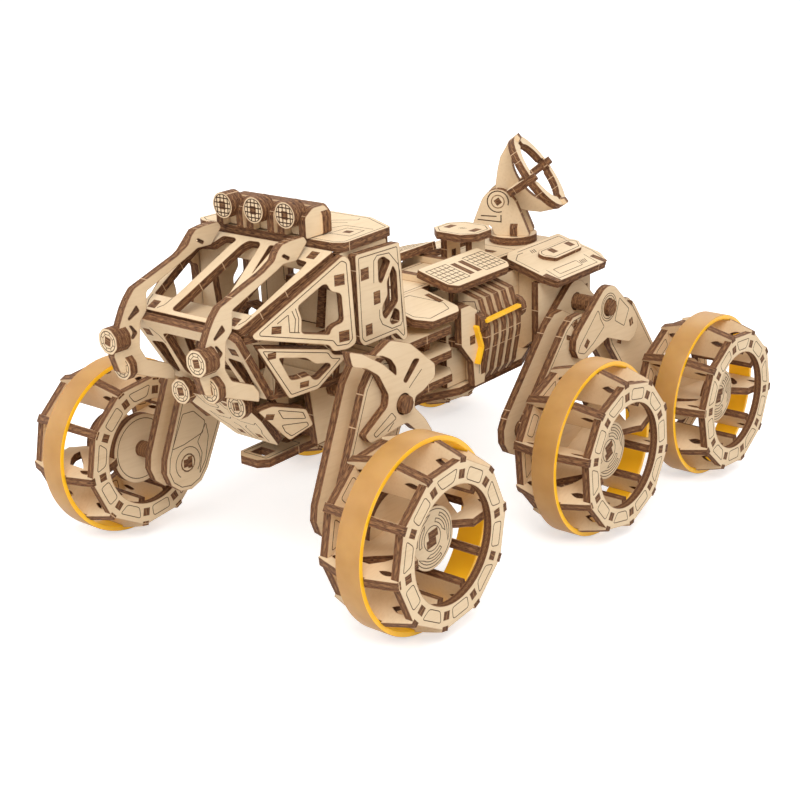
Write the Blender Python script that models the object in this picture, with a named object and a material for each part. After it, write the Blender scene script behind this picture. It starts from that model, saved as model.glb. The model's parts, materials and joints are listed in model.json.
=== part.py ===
"""Six-wheeled planetary rover, a plywood construction model that stands on its wheels.

Lengths are in metres. The front is -Y, the vehicle's left side is +X and the floor is Z = 0.
Nearly every piece is a sheet cut from three-millimetre plywood, so most pieces are outlines,
extruded by the sheet's thickness and fused where they slot through each other.
"""
import bpy
import bmesh
from math import pi, sin, cos, tan, atan2, hypot, radians
from mathutils import Matrix, Vector

for old in list(bpy.data.objects):
    bpy.data.objects.remove(old)

MM = 0.001

# Sheet and fits
ply = 3.0 * MM
gap = 0.3 * MM
bore_clearance = 0.4 * MM

# Running gear
axle_height = 32.8 * MM
front_axle_y = -94.3 * MM
middle_axle_y = 10.5 * MM
rear_axle_y = 94.3 * MM
wheel_inner_face_x = 53.7 * MM
wheel_width = 31.5 * MM
tyre_radius = 32.8 * MM
tyre_thickness = 1.9 * MM
tyre_width = 9.6 * MM
tread_stand_off = 0.7 * MM
ring_corner_radius = 28.0 * MM
ring_hole_radius = 19.7 * MM
tread_inner_radius = 18.3 * MM
hub_outer_radius = 10.7 * MM
hub_inner_radius = 13.0 * MM
hub_outer_inset = 8.6 * MM
hub_inner_inset = 5.0 * MM
axle_radius = 3.0 * MM
ring_sides = 10
tyre_sides = 32
hub_sides = 14
arch_share = 0.45
arch_rise_share = 0.75
full_spoke_steps = (0, 2, 5, 7)
wheel_phase_turns = {"front": 0.226, "middle": 0.273, "rear": 0.194}

# Body attitude: the body leans a little nose-down on its suspension
nose_down = radians(3.0)
attitude_pivot_z = 70.0 * MM

# Legs
leg_inner_x = 34.0 * MM
leg_plate_spacing = 8.4 * MM
leg_foot_radius = 10.5 * MM
leg_head_radius = 11.0 * MM
front_leg_head_y = -78.5 * MM
front_leg_head_z = 70.5 * MM
front_leg_head_radius = 12.0 * MM
front_pivot_y = -74.0 * MM
front_pivot_z = 66.5 * MM
bracket_arm_length = 18.0 * MM
bracket_arm_width = 8.0 * MM
bracket_hub_radius = 6.4 * MM
pivot_radius = 3.2 * MM
bogie_pivot_y = 52.4 * MM
bogie_pivot_z = 73.8 * MM
bogie_spread = 32.9 * MM
bogie_drop = 11.0 * MM
bogie_boss_radius = 8.5 * MM
bogie_end_radius = 6.5 * MM
bogie_fork_share = 0.45
pin_radius = 2.6 * MM

# Chassis, in the body's own level frame
floor_z = 52.0 * MM
floor_front_y = -76.0 * MM
floor_rear_y = 66.0 * MM
floor_half_width = 26.0 * MM
floor_end_half_width = 19.6 * MM
floor_wide_front_y = -14.0 * MM
floor_wide_rear_y = 26.0 * MM
floor_taper = 15.0 * MM
rail_x = 16.0 * MM
rail_front_y = -86.0 * MM
spine_half_width = 11.3 * MM
spine_top_z = 90.0 * MM
spine_front_y = -54.5 * MM
spine_rear_y = 70.0 * MM
shelf_half_width = 30.0 * MM
shelf_front_y = -52.0 * MM
shelf_rear_y = -18.4 * MM
shelf_chamfer = 5.0 * MM
shelf_levels_z = (79.0 * MM, 70.0 * MM, 61.0 * MM)
bulkhead_half_width = 20.0 * MM
bulkhead_foot_half_width = 17.5 * MM
bulkhead_hollow_half_width = 8.0 * MM
front_bulkhead_y = -48.0 * MM
wing_bulkhead_y = -29.0 * MM
engine_bulkheads_y = (-10.0 * MM, 13.0 * MM)
rear_bulkheads_y = (38.0 * MM, 65.0 * MM)
axle_bar_half_length = 50.4 * MM

# Cab
cab_floor_z = 77.5 * MM
cab_floor_front_y = -106.8 * MM
cab_back_y = -57.0 * MM
cab_back_half_width = 29.0 * MM
cab_window_width = 30.0 * MM
cab_window_height = 14.0 * MM
cab_window_z = 108.0 * MM
hoop_y = -83.0 * MM
hoop_bar = 5.0 * MM
roof_z = 124.4 * MM
roof_front_y = -84.0 * MM
roof_side_y = -57.6 * MM
roof_rear_y = -50.7 * MM
roof_front_overhang = 4.4 * MM
roof_side_overhang = 3.2 * MM
roof_rear_half_width = 18.4 * MM
screen_low = (-121.2 * MM, 103.9 * MM)
screen_high = (-85.0 * MM, 122.0 * MM)
screen_low_half_width = 22.5 * MM
screen_high_half_width = 31.0 * MM
grille_low = (-109.9 * MM, 77.3 * MM)
grille_high = (-124.6 * MM, 101.8 * MM)
grille_half_width = 22.0 * MM
nose_low = (-94.3 * MM, 53.7 * MM)
nose_high = (-114.0 * MM, 74.9 * MM)
nose_low_half_width = 10.0 * MM
nose_high_half_width = 15.6 * MM
keel_x = 7.0 * MM
keel_rear_y = -86.4 * MM
keel_foot_z = 58.0 * MM
nose_bulkhead_y = -104.5 * MM
chin_bulkhead_y = -101.0 * MM
sill_z = 99.7 * MM
sill_rear_y = -101.0 * MM
window_reveal = 3.5 * MM
window_flare = 1.88 * MM
side_window_tip_y = -116.7 * MM
side_window_tip_z = 101.2 * MM
side_window_length = 37.0 * MM
side_window_height = 31.0 * MM
lower_panel_tip = (26.0 * MM, -116.1 * MM, 97.4 * MM)
lower_panel_length = 34.5 * MM
lower_panel_height = 21.6 * MM
lower_panel_lean = radians(12.0)
chin_panel_tip = (19.5 * MM, -112.0 * MM, 73.5 * MM)
chin_panel_length = 22.0 * MM
chin_panel_height = 15.2 * MM
chin_panel_lean = radians(15.0)
rear_panel_stand_off = 7.0 * MM
rear_panel_front_y = -80.3 * MM
rear_panel_base_z = 85.4 * MM
rear_panel_length = 25.0 * MM
rear_panel_height = 35.0 * MM
roll_bar_x = 19.5 * MM
roll_bar_front_y = -137.9 * MM
roll_bar_base_z = 86.0 * MM
roll_bar_length = 51.6 * MM
roll_bar_height = 40.1 * MM
nose_lamp_radius = 4.6 * MM
nose_lamp_x = 20.2 * MM
chin_lamp_x = 12.9 * MM
roof_lamp_radius = 4.4 * MM
roof_lamp_spacing = 14.1 * MM
roof_lamp_y = -85.8 * MM
roof_lamp_rise = 8.0 * MM
lamp_bar_half_width = 21.5 * MM
lamp_bar_height = 9.5 * MM
lamp_bar_depth = 9.0 * MM
seat_y = -70.0 * MM
seat_width = 20.0 * MM
seat_depth = 16.0 * MM
seat_height = 7.0 * MM
seat_back_height = 24.0 * MM
seat_side_x = 7.0 * MM
steering_y = -94.0 * MM
steering_wheel_radius = 7.0 * MM
steering_wheel_rim = 2.0 * MM
steering_column_height = 16.0 * MM
tongue_z = 47.0 * MM
tongue_half_width = 6.8 * MM
tongue_front_y = -99.0 * MM
tongue_rear_y = -66.0 * MM
tongue_slot_y = -92.0 * MM
tongue_slot_length = 5.5 * MM

# Middle body
panel_slope = radians(14.0)
grid_panel_inner_x = 10.0 * MM
grid_panel_inner_z = 96.8 * MM
grid_panel_width = 17.5 * MM
grid_panel_front_y = -17.0 * MM
grid_panel_length = 37.0 * MM
wing_panel_inner_x = 12.6 * MM
wing_panel_inner_z = 90.6 * MM
wing_panel_width = 20.0 * MM
wing_panel_front_y = -41.0 * MM
wing_panel_length = 23.0 * MM
rib_count = 5
rib_pitch = 4.8 * MM
rib_first_y = -5.0 * MM
rib_inner_x = 20.4 * MM
rib_outer_x = 33.0 * MM
cheek_plate_x = 29.0 * MM
cheek_plate_y = -18.0 * MM
cheek_plate_length = 15.0 * MM
roller_radius = 4.2 * MM
roller_z = 77.5 * MM
roller_x = 29.5 * MM
console_z = 100.7 * MM
console_half_width = 10.6 * MM
console_front_y = 15.0 * MM
console_rear_y = 33.5 * MM
console_chamfer = 5.0 * MM
console_post_x = 6.0 * MM

# Rear body
deck_slope = radians(14.5)
deck_inner_x = 12.4 * MM
deck_inner_z = 91.4 * MM
deck_width = 27.0 * MM
deck_front_y = 31.0 * MM
deck_length = 41.0 * MM
hatch_inset = 8.0 * MM
hatch_length = 22.0 * MM
hatch_width = 11.0 * MM
rear_wall_x = 28.9 * MM
rear_wall_front_y = 31.0 * MM
rear_wall_length = 37.0 * MM
rear_wall_base_z = 57.0 * MM
rear_wall_top_z = 83.0 * MM
tail_high = (71.9 * MM, 84.0 * MM)
tail_low = (68.4 * MM, 56.0 * MM)
tail_half_width = 25.0 * MM

# Antenna
antenna_y = 57.9 * MM
antenna_turn = radians(23.8)
turntable_radius = 9.6 * MM
spindle_radius = 2.6 * MM
spindle_length = 8.0 * MM
cheek_spacing = 9.0 * MM
cheek_base_rear = 8.5 * MM
cheek_base_front = 6.5 * MM
cheek_head_radius = 5.2 * MM
dish_pivot_height = 13.8 * MM
dish_pivot_back = 4.8 * MM
dish_tilt = radians(40.0)
dish_pin_radius = 2.2 * MM
dish_neck_radius = 4.0 * MM
dish_ring_radius = 16.9 * MM
dish_ring_hole_radius = 13.7 * MM
dish_ring_distance = 20.5 * MM
dish_bowl_depth = 9.0 * MM

# Outlines as shares of a piece's length and height, from its front lower corner or its tip
side_window_shares = [(-0.03, 0.02), (0.88, 0.635), (0.96, 0.58), (0.985, -0.30), (0.94, -0.37),
                      (0.75, -0.35), (0.71, -0.28), (-0.014, -0.023)]
side_opening_shares = [(0.305, -0.035), (0.725, -0.185), (0.73, -0.12), (0.85, -0.07), (0.87, 0.245),
                       (0.76, 0.27), (0.72, 0.385), (0.665, 0.385), (0.316, 0.145)]
lower_panel_shares = [(-0.02, -0.01), (0.71, -0.31), (0.77, -0.42), (0.98, -0.49), (0.68, -0.89), (0.33, -1.0)]
lower_opening_shares = [(0.235, -0.27), (0.67, -0.44), (0.74, -0.56), (0.81, -0.55), (0.65, -0.82),
                        (0.61, -0.71), (0.37, -0.67), (0.33, -0.69), (0.21, -0.39)]
chin_panel_shares = [(-0.01, -0.01), (0.23, 0.04), (0.83, -0.26), (0.99, -0.74), (0.59, -0.98), (0.46, -0.78)]
rear_panel_shares = [(0.0, 0.99), (0.14, 1.0), (0.89, 0.97), (1.0, 0.03), (0.93, 0.0), (0.75, 0.11),
                     (0.57, 0.12), (0.14, 0.11), (0.04, 0.15)]
rear_opening_shares = [[(0.44, 0.88), (0.55, 0.90), (0.70, 0.83), (0.44, 0.63), (0.42, 0.67)],
                       [(0.76, 0.74), (0.82, 0.69), (0.80, 0.41), (0.54, 0.29), (0.48, 0.33), (0.48, 0.41)],
                       [(0.75, 0.37), (0.84, 0.32), (0.83, 0.21), (0.67, 0.21), (0.63, 0.25)]]
roll_bar_shares = [(0.0, 0.197), (0.093, 0.439), (0.167, 0.586), (0.217, 0.656), (0.599, 0.813), (0.70, 0.878),
                   (0.735, 0.948), (0.775, 0.988), (0.855, 1.0), (0.973, 1.0), (1.0, 0.95), (0.90, 0.826),
                   (0.773, 0.83), (0.713, 0.795), (0.314, 0.606), (0.279, 0.514), (0.235, 0.39),
                   (0.252, 0.19), (0.237, 0.0)]
upper_lamp_share = 0.28
lower_lamp_share = 0.03
roll_bar_hole_shares = [[(0.762, 0.893), (0.80, 0.93), (0.835, 0.893), (0.80, 0.856)],
                        [(0.205, 0.504), (0.231, 0.479), (0.161, 0.416), (0.153, 0.426)]]
screen_opening_shares = [[(0.10, 0.10), (0.20, 0.88), (0.36, 0.93), (0.33, 0.86)],
                         [(0.20, 0.08), (0.41, 0.93), (0.50, 0.93), (0.33, 0.07)],
                         [(0.37, 0.07), (0.53, 0.93), (0.62, 0.92), (0.57, 0.07)],
                         [(0.70, 0.10), (0.82, 0.72), (0.92, 0.86), (0.90, 0.72)]]
grille_opening_shares = [[(0.06, 0.20), (0.06, 0.80), (0.16, 0.88), (0.30, 0.20)],
                         [(0.36, 0.14), (0.24, 0.86), (0.60, 0.86), (0.56, 0.14)],
                         [(0.64, 0.20), (0.68, 0.76), (0.84, 0.80), (0.92, 0.60), (0.88, 0.26)]]
cheek_plate_shares = [(0.0, 1.0), (0.35, 1.0), (0.95, 0.82), (0.95, 0.62), (1.0, 0.34), (0.9, 0.0),
                      (0.5, 0.0), (0.45, 0.3), (0.0, 0.55)]
rib_crest_share = 0.72
rib_shares = [(0.0, 0.0), (0.62, 0.0), (0.80, 0.10), (1.0, 0.48), (1.0, 0.62), (rib_crest_share, 0.92),
              (0.0, 0.99)]
dish_shares = [(1.03, 0.10), (0.964, -0.156), (0.858, -0.415), (0.651, -0.615)]
bowl_shares = (0.97, 0.7, 0.35)


def material(name, colour, roughness):
    """One Principled finish, made once and shared."""
    finish = bpy.data.materials.get(name) or bpy.data.materials.new(name)
    finish.use_nodes = True
    shader = finish.node_tree.nodes["Principled BSDF"]
    shader.inputs["Base Color"].default_value = (*colour, 1.0)
    shader.inputs["Roughness"].default_value = roughness
    finish.diffuse_color = (*colour, 1.0)
    return finish


birch = material("birch_plywood", (0.84, 0.66, 0.43), 0.6)
rubber = material("amber_rubber", (0.73, 0.38, 0.06), 0.4)

body_frame = (Matrix.Translation((0.0, 0.0, attitude_pivot_z)) @ Matrix.Rotation(nose_down, 4, "X")
              @ Matrix.Translation((0.0, 0.0, -attitude_pivot_z)))
mirror_x = Matrix.Scale(-1.0, 4, (1.0, 0.0, 0.0))


# Frames for a sheet: local u and v run in the sheet, w is its normal

def facing_side(x, y, z):
    """u runs back along Y, v runs up, and the sheet faces +X."""
    return Matrix(((0, 0, 1, x), (1, 0, 0, y), (0, 1, 0, z), (0, 0, 0, 1)))


def facing_front(x, y, z):
    """u runs along X, v runs up, and the sheet faces -Y."""
    return Matrix(((1, 0, 0, x), (0, 0, -1, y), (0, 1, 0, z), (0, 0, 0, 1)))


def facing_up(x, y, z):
    """u runs along X, v runs back along Y, and the sheet faces up."""
    return Matrix.Translation((x, y, z))


def leaning_front(half_width, low, high):
    """A sheet across the body whose v runs from the low (y, z) point to the high one."""
    rise = Vector((0.0, high[0] - low[0], high[1] - low[1])).normalized()
    across = Vector((1.0, 0.0, 0.0))
    normal = across.cross(rise)
    frame = Matrix((across, rise, normal)).transposed().to_4x4()
    return Matrix.Translation((-half_width, low[0], low[1])) @ frame


def slanted_side(tip, toe, lean):
    """A side panel that starts at its tip, widens to the rear by toe and leans out by lean."""
    return (Matrix.Translation(tip) @ Matrix.Rotation(-toe, 4, "Z") @ Matrix.Rotation(lean, 4, "Y")
            @ facing_side(0.0, 0.0, 0.0))


# Outlines

def scaled(shares, length, height):
    """Shares of a length and a height, as points."""
    return [(u * length, v * height) for u, v in shares]


def round_points(radius, sides, centre=(0.0, 0.0), start=0.0):
    """A regular outline with this many corners."""
    return [(centre[0] + radius * cos(start + 2 * pi * i / sides),
             centre[1] + radius * sin(start + 2 * pi * i / sides)) for i in range(sides)]


def rectangle(length, height, centre=(0.0, 0.0)):
    """A rectangle round its centre."""
    du, dv = length / 2, height / 2
    return [(centre[0] + u, centre[1] + v) for u, v in ((-du, -dv), (du, -dv), (du, dv), (-du, dv))]


def link_points(first, first_radius, second, second_radius, steps):
    """The outline round two circles and the straight sides between them."""
    away = atan2(second[1] - first[1], second[0] - first[0])
    distance = hypot(second[0] - first[0], second[1] - first[1])
    open_angle = pi / 2 + atan2(second_radius - first_radius, distance)
    points = []
    for i in range(steps + 1):
        turn = away + open_angle + (2 * pi - 2 * open_angle) * i / steps
        points.append((first[0] + first_radius * cos(turn), first[1] + first_radius * sin(turn)))
    for i in range(steps + 1):
        turn = away - open_angle + 2 * open_angle * i / steps
        points.append((second[0] + second_radius * cos(turn), second[1] + second_radius * sin(turn)))
    return points


# Sheets and fused pieces

flat_angle = radians(0.2)


def sheet(outline, holes=(), thickness=ply, frame=Matrix.Identity(4)):
    """A closed mesh: the outline with its holes, extruded about its own plane."""
    curve = bpy.data.curves.new("outline", "CURVE")
    curve.dimensions = "2D"
    curve.fill_mode = "BOTH"
    curve.extrude = thickness / 2
    for points in (outline, *holes):
        spline = curve.splines.new("POLY")
        spline.points.add(len(points) - 1)
        for point, (u, v) in zip(spline.points, points):
            point.co = (u, v, 0.0, 1.0)
        spline.use_cyclic_u = True
    holder = bpy.data.objects.new("outline", curve)
    bpy.context.scene.collection.objects.link(holder)
    shape = bpy.data.meshes.new_from_object(holder.evaluated_get(bpy.context.evaluated_depsgraph_get()))
    bpy.data.objects.remove(holder)
    bpy.data.curves.remove(curve)
    work = bmesh.new()
    work.from_mesh(shape)
    bmesh.ops.remove_doubles(work, verts=work.verts, dist=thickness / 1000)
    bmesh.ops.transform(work, matrix=frame, verts=work.verts)
    bmesh.ops.recalc_face_normals(work, faces=work.faces)
    work.to_mesh(shape)
    work.free()
    return shape


def merged_faces(shape):
    """The same mesh with the flat faces that the union split joined up again."""
    work = bmesh.new()
    work.from_mesh(shape)
    bmesh.ops.remove_doubles(work, verts=work.verts, dist=ply / 3000)
    bmesh.ops.dissolve_limit(work, angle_limit=flat_angle, verts=work.verts, edges=work.edges)
    work.to_mesh(shape)
    work.free()
    return shape


def fused(shapes):
    """One closed mesh from sheets that pass through each other."""
    if len(shapes) == 1:
        return shapes[0]
    scene = bpy.context.scene.collection
    base = bpy.data.objects.new("base", shapes[0])
    scene.objects.link(base)
    helpers = bpy.data.collections.new("helpers")
    scene.children.link(helpers)
    for shape in shapes[1:]:
        helpers.objects.link(bpy.data.objects.new("helper", shape))
    union = base.modifiers.new("union", "BOOLEAN")
    union.operation = "UNION"
    union.solver = "EXACT"
    union.operand_type = "COLLECTION"
    union.collection = helpers
    result = bpy.data.meshes.new_from_object(base.evaluated_get(bpy.context.evaluated_depsgraph_get()))
    for helper in list(helpers.objects):
        bpy.data.objects.remove(helper)
    bpy.data.collections.remove(helpers)
    bpy.data.objects.remove(base)
    return merged_faces(result)


nodes = []


def add_node(name, shape, finish=birch, origin=(0.0, 0.0, 0.0), mirrored=False):
    """A named piece, its origin put where it turns or at the rover's own origin."""
    place = Vector(origin)
    work = bmesh.new()
    work.from_mesh(shape)
    if mirrored:
        bmesh.ops.transform(work, matrix=mirror_x, verts=work.verts)
        bmesh.ops.reverse_faces(work, faces=work.faces)
        place = mirror_x @ place
    bmesh.ops.translate(work, vec=-place, verts=work.verts)
    mesh = bpy.data.meshes.new(name)
    work.to_mesh(mesh)
    work.free()
    mesh.materials.clear()
    mesh.materials.append(finish)
    piece = bpy.data.objects.new(name, mesh)
    piece.location = place
    bpy.context.scene.collection.objects.link(piece)
    nodes.append(piece)
    return piece


def add_pair(name, shape, finish=birch):
    """The left piece and its mirror image on the right."""
    add_node(name + "_left", shape, finish)
    add_node(name + "_right", shape, finish, mirrored=True)


# Wheels

wheel_middle_x = wheel_inner_face_x + wheel_width / 2
leg_outer_x = leg_inner_x + leg_plate_spacing + ply
axle_reach = wheel_inner_face_x - leg_inner_x


def tread_top(half, seat_radius, recess):
    """The outer edge of a cross plate: crowned, with a seat for the rubber band."""
    crown = seat_radius + tread_stand_off
    return [(-half, ring_corner_radius), (-recess, crown), (-recess, seat_radius),
            (recess, seat_radius), (recess, crown), (half, ring_corner_radius)]


def spoke_side(end, hub_end, hub_radius):
    """One arched side of a full spoke, from the rim's inner edge in to its hub disc."""
    bend = (end + (hub_end - end) * arch_share, tread_inner_radius - (tread_inner_radius - hub_radius)
            * (1.0 - arch_rise_share))
    return [(end, tread_inner_radius), bend, (hub_end, hub_radius)]


def wheel_mesh(phase):
    """Two ten-sided rings, cross plates on edge, two spoke plates, two hub discs and the axle, about X."""
    half = wheel_width / 2
    seat_radius = tyre_radius - tyre_thickness - gap
    recess = tyre_width / 2 + gap
    shapes = []
    for side in (-1, 1):
        frame = facing_side(side * (half - ply / 2), 0.0, 0.0)
        hole = round_points(ring_hole_radius, 2 * ring_sides, start=phase)
        shapes.append(sheet(round_points(ring_corner_radius, ring_sides, start=phase), [hole], frame=frame))
    outer_hub_x = half - hub_outer_inset - ply / 2
    inner_hub_x = -half + hub_inner_inset + ply / 2
    for x, radius in ((outer_hub_x, hub_outer_radius), (inner_hub_x, hub_inner_radius)):
        shapes.append(sheet(round_points(radius, hub_sides, start=phase), frame=facing_side(x, 0.0, 0.0)))
    top = tread_top(half, seat_radius, recess)
    right = spoke_side(half, outer_hub_x, hub_outer_radius - ply / 2)
    left = spoke_side(-half, inner_hub_x, hub_inner_radius - ply / 2)
    upper = top + right
    lower = [(x, -v) for x, v in reversed(upper)]
    spoke = upper + lower + [(x, -v) for x, v in left] + [(x, v) for x, v in reversed(left)]
    rim_plate = top + [(half, tread_inner_radius), (-half, tread_inner_radius)]
    for step in range(ring_sides):
        frame = Matrix.Rotation(phase + 2 * pi * step / ring_sides - pi / 2, 4, "X")
        opposite = (step + ring_sides // 2) % ring_sides
        if step in full_spoke_steps and opposite in full_spoke_steps:
            if step < opposite:
                shapes.append(sheet(spoke, frame=frame))
        else:
            shapes.append(sheet(rim_plate, frame=frame))
    axle_end = -half - axle_reach
    shapes.append(sheet(round_points(axle_radius, 8, start=pi / 8), thickness=inner_hub_x - axle_end,
                        frame=facing_side((inner_hub_x + axle_end) / 2, 0.0, 0.0)))
    return fused(shapes)


def tyre_mesh():
    """A rubber band, flat in section, about X."""
    ring = round_points(tyre_radius, tyre_sides)
    hole = round_points(tyre_radius - tyre_thickness, tyre_sides)
    return sheet(ring, [hole], thickness=tyre_width, frame=facing_side(0.0, 0.0, 0.0))


band = tyre_mesh()
for row, axle_y in (("front", front_axle_y), ("middle", middle_axle_y), ("rear", rear_axle_y)):
    wheel = wheel_mesh(2 * pi * wheel_phase_turns[row])
    centre = Vector((wheel_middle_x, axle_y, axle_height))
    for side, mirrored in (("left", False), ("right", True)):
        for name, shape, finish in (("wheel", wheel, birch), ("tyre", band, rubber)):
            placed = shape.copy()
            placed.transform(Matrix.Translation(centre))
            add_node(name + "_" + row + "_" + side, placed, finish, centre, mirrored)


# Legs and bogie arms

leg_planes_x = (leg_inner_x + ply / 2, leg_inner_x + leg_plate_spacing + ply / 2)


def leg_mesh(head, head_radius, foot, pin, pin_bore):
    """Two parallel plates round the axle and the pin, joined by a web down their middle."""
    holes = [round_points(axle_radius + bore_clearance, 12, foot), round_points(pin_bore, 12, pin)]
    outline = link_points(foot, leg_foot_radius, head, head_radius, 6)
    shapes = [sheet(outline, holes, frame=facing_side(x, 0.0, 0.0)) for x in leg_planes_x]
    along = Vector((head[0] - foot[0], head[1] - foot[1]))
    clear_foot = leg_foot_radius + ply
    length = along.length - clear_foot - head_radius - ply
    tilt = atan2(along[1], along[0])
    middle = Vector(foot) + along.normalized() * (clear_foot + length / 2)
    frame = (Matrix.Translation((0.0, middle[0], middle[1])) @ Matrix.Rotation(tilt, 4, "X")
             @ facing_up((leg_inner_x + leg_outer_x) / 2, 0.0, 0.0))
    shapes.append(sheet(rectangle(leg_plate_spacing + ply, length), frame=frame))
    return fused(shapes)


bogie_plane_inner_x = leg_inner_x - gap - ply / 2
bogie_plane_outer_x = leg_outer_x + gap + ply / 2
bogie_heads = [(bogie_pivot_y - bogie_spread / 2, bogie_pivot_z - bogie_drop),
               (bogie_pivot_y + bogie_spread / 2, bogie_pivot_z - bogie_drop)]

front_pivot = (front_pivot_y, front_pivot_z)
bogie_pivot = (bogie_pivot_y, bogie_pivot_z)

add_pair("front_leg", leg_mesh((front_leg_head_y, front_leg_head_z), front_leg_head_radius,
                               (front_axle_y, axle_height), front_pivot, pivot_radius + bore_clearance))
for name, head, axle_y in (("middle_leg", bogie_heads[0], middle_axle_y),
                           ("rear_leg", bogie_heads[1], rear_axle_y)):
    add_pair(name, leg_mesh(head, leg_head_radius, (axle_y, axle_height), head, pin_radius + gap))


def bogie_points():
    """The inverted V: round the boss, down one arm, up under the fork and down the other."""
    steps = 5
    slope = atan2(bogie_drop, bogie_spread / 2)
    points = []
    for i in range(steps + 1):
        turn = pi / 2 - slope + 2 * slope * i / steps
        points.append((bogie_pivot_y + bogie_boss_radius * cos(turn),
                       bogie_pivot_z + bogie_boss_radius * sin(turn)))
    for side, end in ((-1, bogie_heads[0]), (1, bogie_heads[1])):
        arc = []
        for i in range(steps + 1):
            turn = pi / 2 + slope + pi * i / steps
            arc.append((end[0] - side * bogie_end_radius * cos(turn), end[1] + bogie_end_radius * sin(turn)))
        if side < 0:
            points += arc + [(bogie_pivot_y, bogie_pivot_z - bogie_boss_radius * (1.0 + bogie_fork_share))]
        else:
            points += reversed(arc)
    return points


def bogie_mesh():
    """An inverted V on each side of the legs, joined by the two pins that carry them."""
    bore = round_points(pivot_radius + bore_clearance, 12, bogie_pivot)
    shapes = [sheet(bogie_points(), [bore], frame=facing_side(x, 0.0, 0.0))
              for x in (bogie_plane_inner_x, bogie_plane_outer_x)]
    reach = bogie_plane_outer_x - bogie_plane_inner_x
    middle = (bogie_plane_outer_x + bogie_plane_inner_x) / 2
    for end in bogie_heads:
        shapes.append(sheet(round_points(pin_radius, 8, end), thickness=reach,
                            frame=facing_side(middle, 0.0, 0.0)))
    return fused(shapes)


add_pair("bogie_arm", bogie_mesh())


def bracket_points():
    """Four rounded arms round a hub."""
    arm = bracket_arm_width / 2
    root = bracket_hub_radius
    points = []
    for i in range(4):
        turn = pi / 4 + i * pi / 2
        for along, aside in ((root, arm), (bracket_arm_length - arm, arm), (bracket_arm_length, arm / 2),
                             (bracket_arm_length, -arm / 2), (bracket_arm_length - arm, -arm), (root, -arm)):
            points.append((front_pivot_y + along * cos(turn) + aside * sin(turn),
                           front_pivot_z + along * sin(turn) - aside * cos(turn)))
    return points


def bracket_mesh():
    """A four-armed cross on the front suspension axle, outside the leg."""
    bore = round_points(pivot_radius + bore_clearance, 12, front_pivot)
    return sheet(bracket_points(), [bore], frame=facing_side(bogie_plane_outer_x, 0.0, 0.0))


add_pair("front_bracket", bracket_mesh())


# Body helpers: everything below is modelled level and then leant with the body

def body_node(name, shape, finish=birch):
    """One piece of the body."""
    shape.transform(body_frame)
    return add_node(name, shape, finish)


def body_pair(name, shape, finish=birch):
    """A left piece of the body and its mirror image."""
    shape.transform(body_frame)
    add_pair(name, shape, finish)


def into_body(point):
    """Where a (y, z) point of the level running gear lies in the leaning body."""
    place = body_frame.inverted() @ Vector((0.0, *point))
    return (place.y, place.z)


def set_in(frame):
    """The same frame, moved in so that a sheet's outer face lies on it."""
    return frame @ Matrix.Translation((0.0, 0.0, -ply / 2))


def inside_x(panel, y, z):
    """How far out a piece reaches at this place, a fit's gap inside a side panel."""
    normal = panel.to_3x3() @ Vector((0.0, 0.0, 1.0))
    tip = panel.translation
    return tip.x - (ply + gap + normal.y * (y - tip.y) + normal.z * (z - tip.z)) / normal.x


def outward(low, high):
    """The (y, z) normal of a panel across the body."""
    rise = Vector((high[0] - low[0], high[1] - low[1])).normalized()
    return Vector((-rise[1], rise[0]))


def inside_y(low, high, z):
    """The y a fit's gap inside a panel across the body, at this height."""
    normal = outward(low, high)
    return low[0] - (ply + gap + (z - low[1]) * normal[1]) / normal[0]


def inside_z(low, high, y):
    """The height a fit's gap inside a panel across the body, at this y."""
    normal = outward(low, high)
    return low[1] - (ply + gap + (y - low[0]) * normal[0]) / normal[1]


def under_slope(inner_x, inner_z, slope, x):
    """The height a fit's gap under a panel that slopes down from the spine."""
    return inner_z - (x - inner_x) * tan(slope) - (ply + gap) / cos(slope)


def sloping_out(inner_x, front_y, inner_z, slope):
    """u runs out and down the slope, v runs back along Y, and the sheet faces up."""
    return Matrix.Translation((inner_x, front_y, inner_z)) @ Matrix.Rotation(slope, 4, "Y")


def both_sides(half):
    """A closed outline from its right half, given from bottom to top."""
    return half + [(-x, z) for x, z in reversed(half)]


side_flare = screen_high_half_width + window_flare - screen_low_half_width
side_toe = atan2(side_flare, screen_high[0] - screen_low[0])
side_window_tip = (screen_low_half_width + window_reveal, side_window_tip_y, side_window_tip_z)
window_frame = slanted_side(side_window_tip, side_toe, 0.0)
lower_frame = slanted_side(lower_panel_tip, side_toe, lower_panel_lean)
chin_frame = slanted_side(chin_panel_tip, side_toe, chin_panel_lean)
floor_top_z = floor_z + ply / 2
spine_z = spine_top_z - ply / 2
cab_floor_top_z = cab_floor_z + ply / 2
cab_floor_under_z = cab_floor_z - ply / 2


# Chassis: floor board, two rails, top strip, shelves, bulkheads and the two suspension axles

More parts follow.
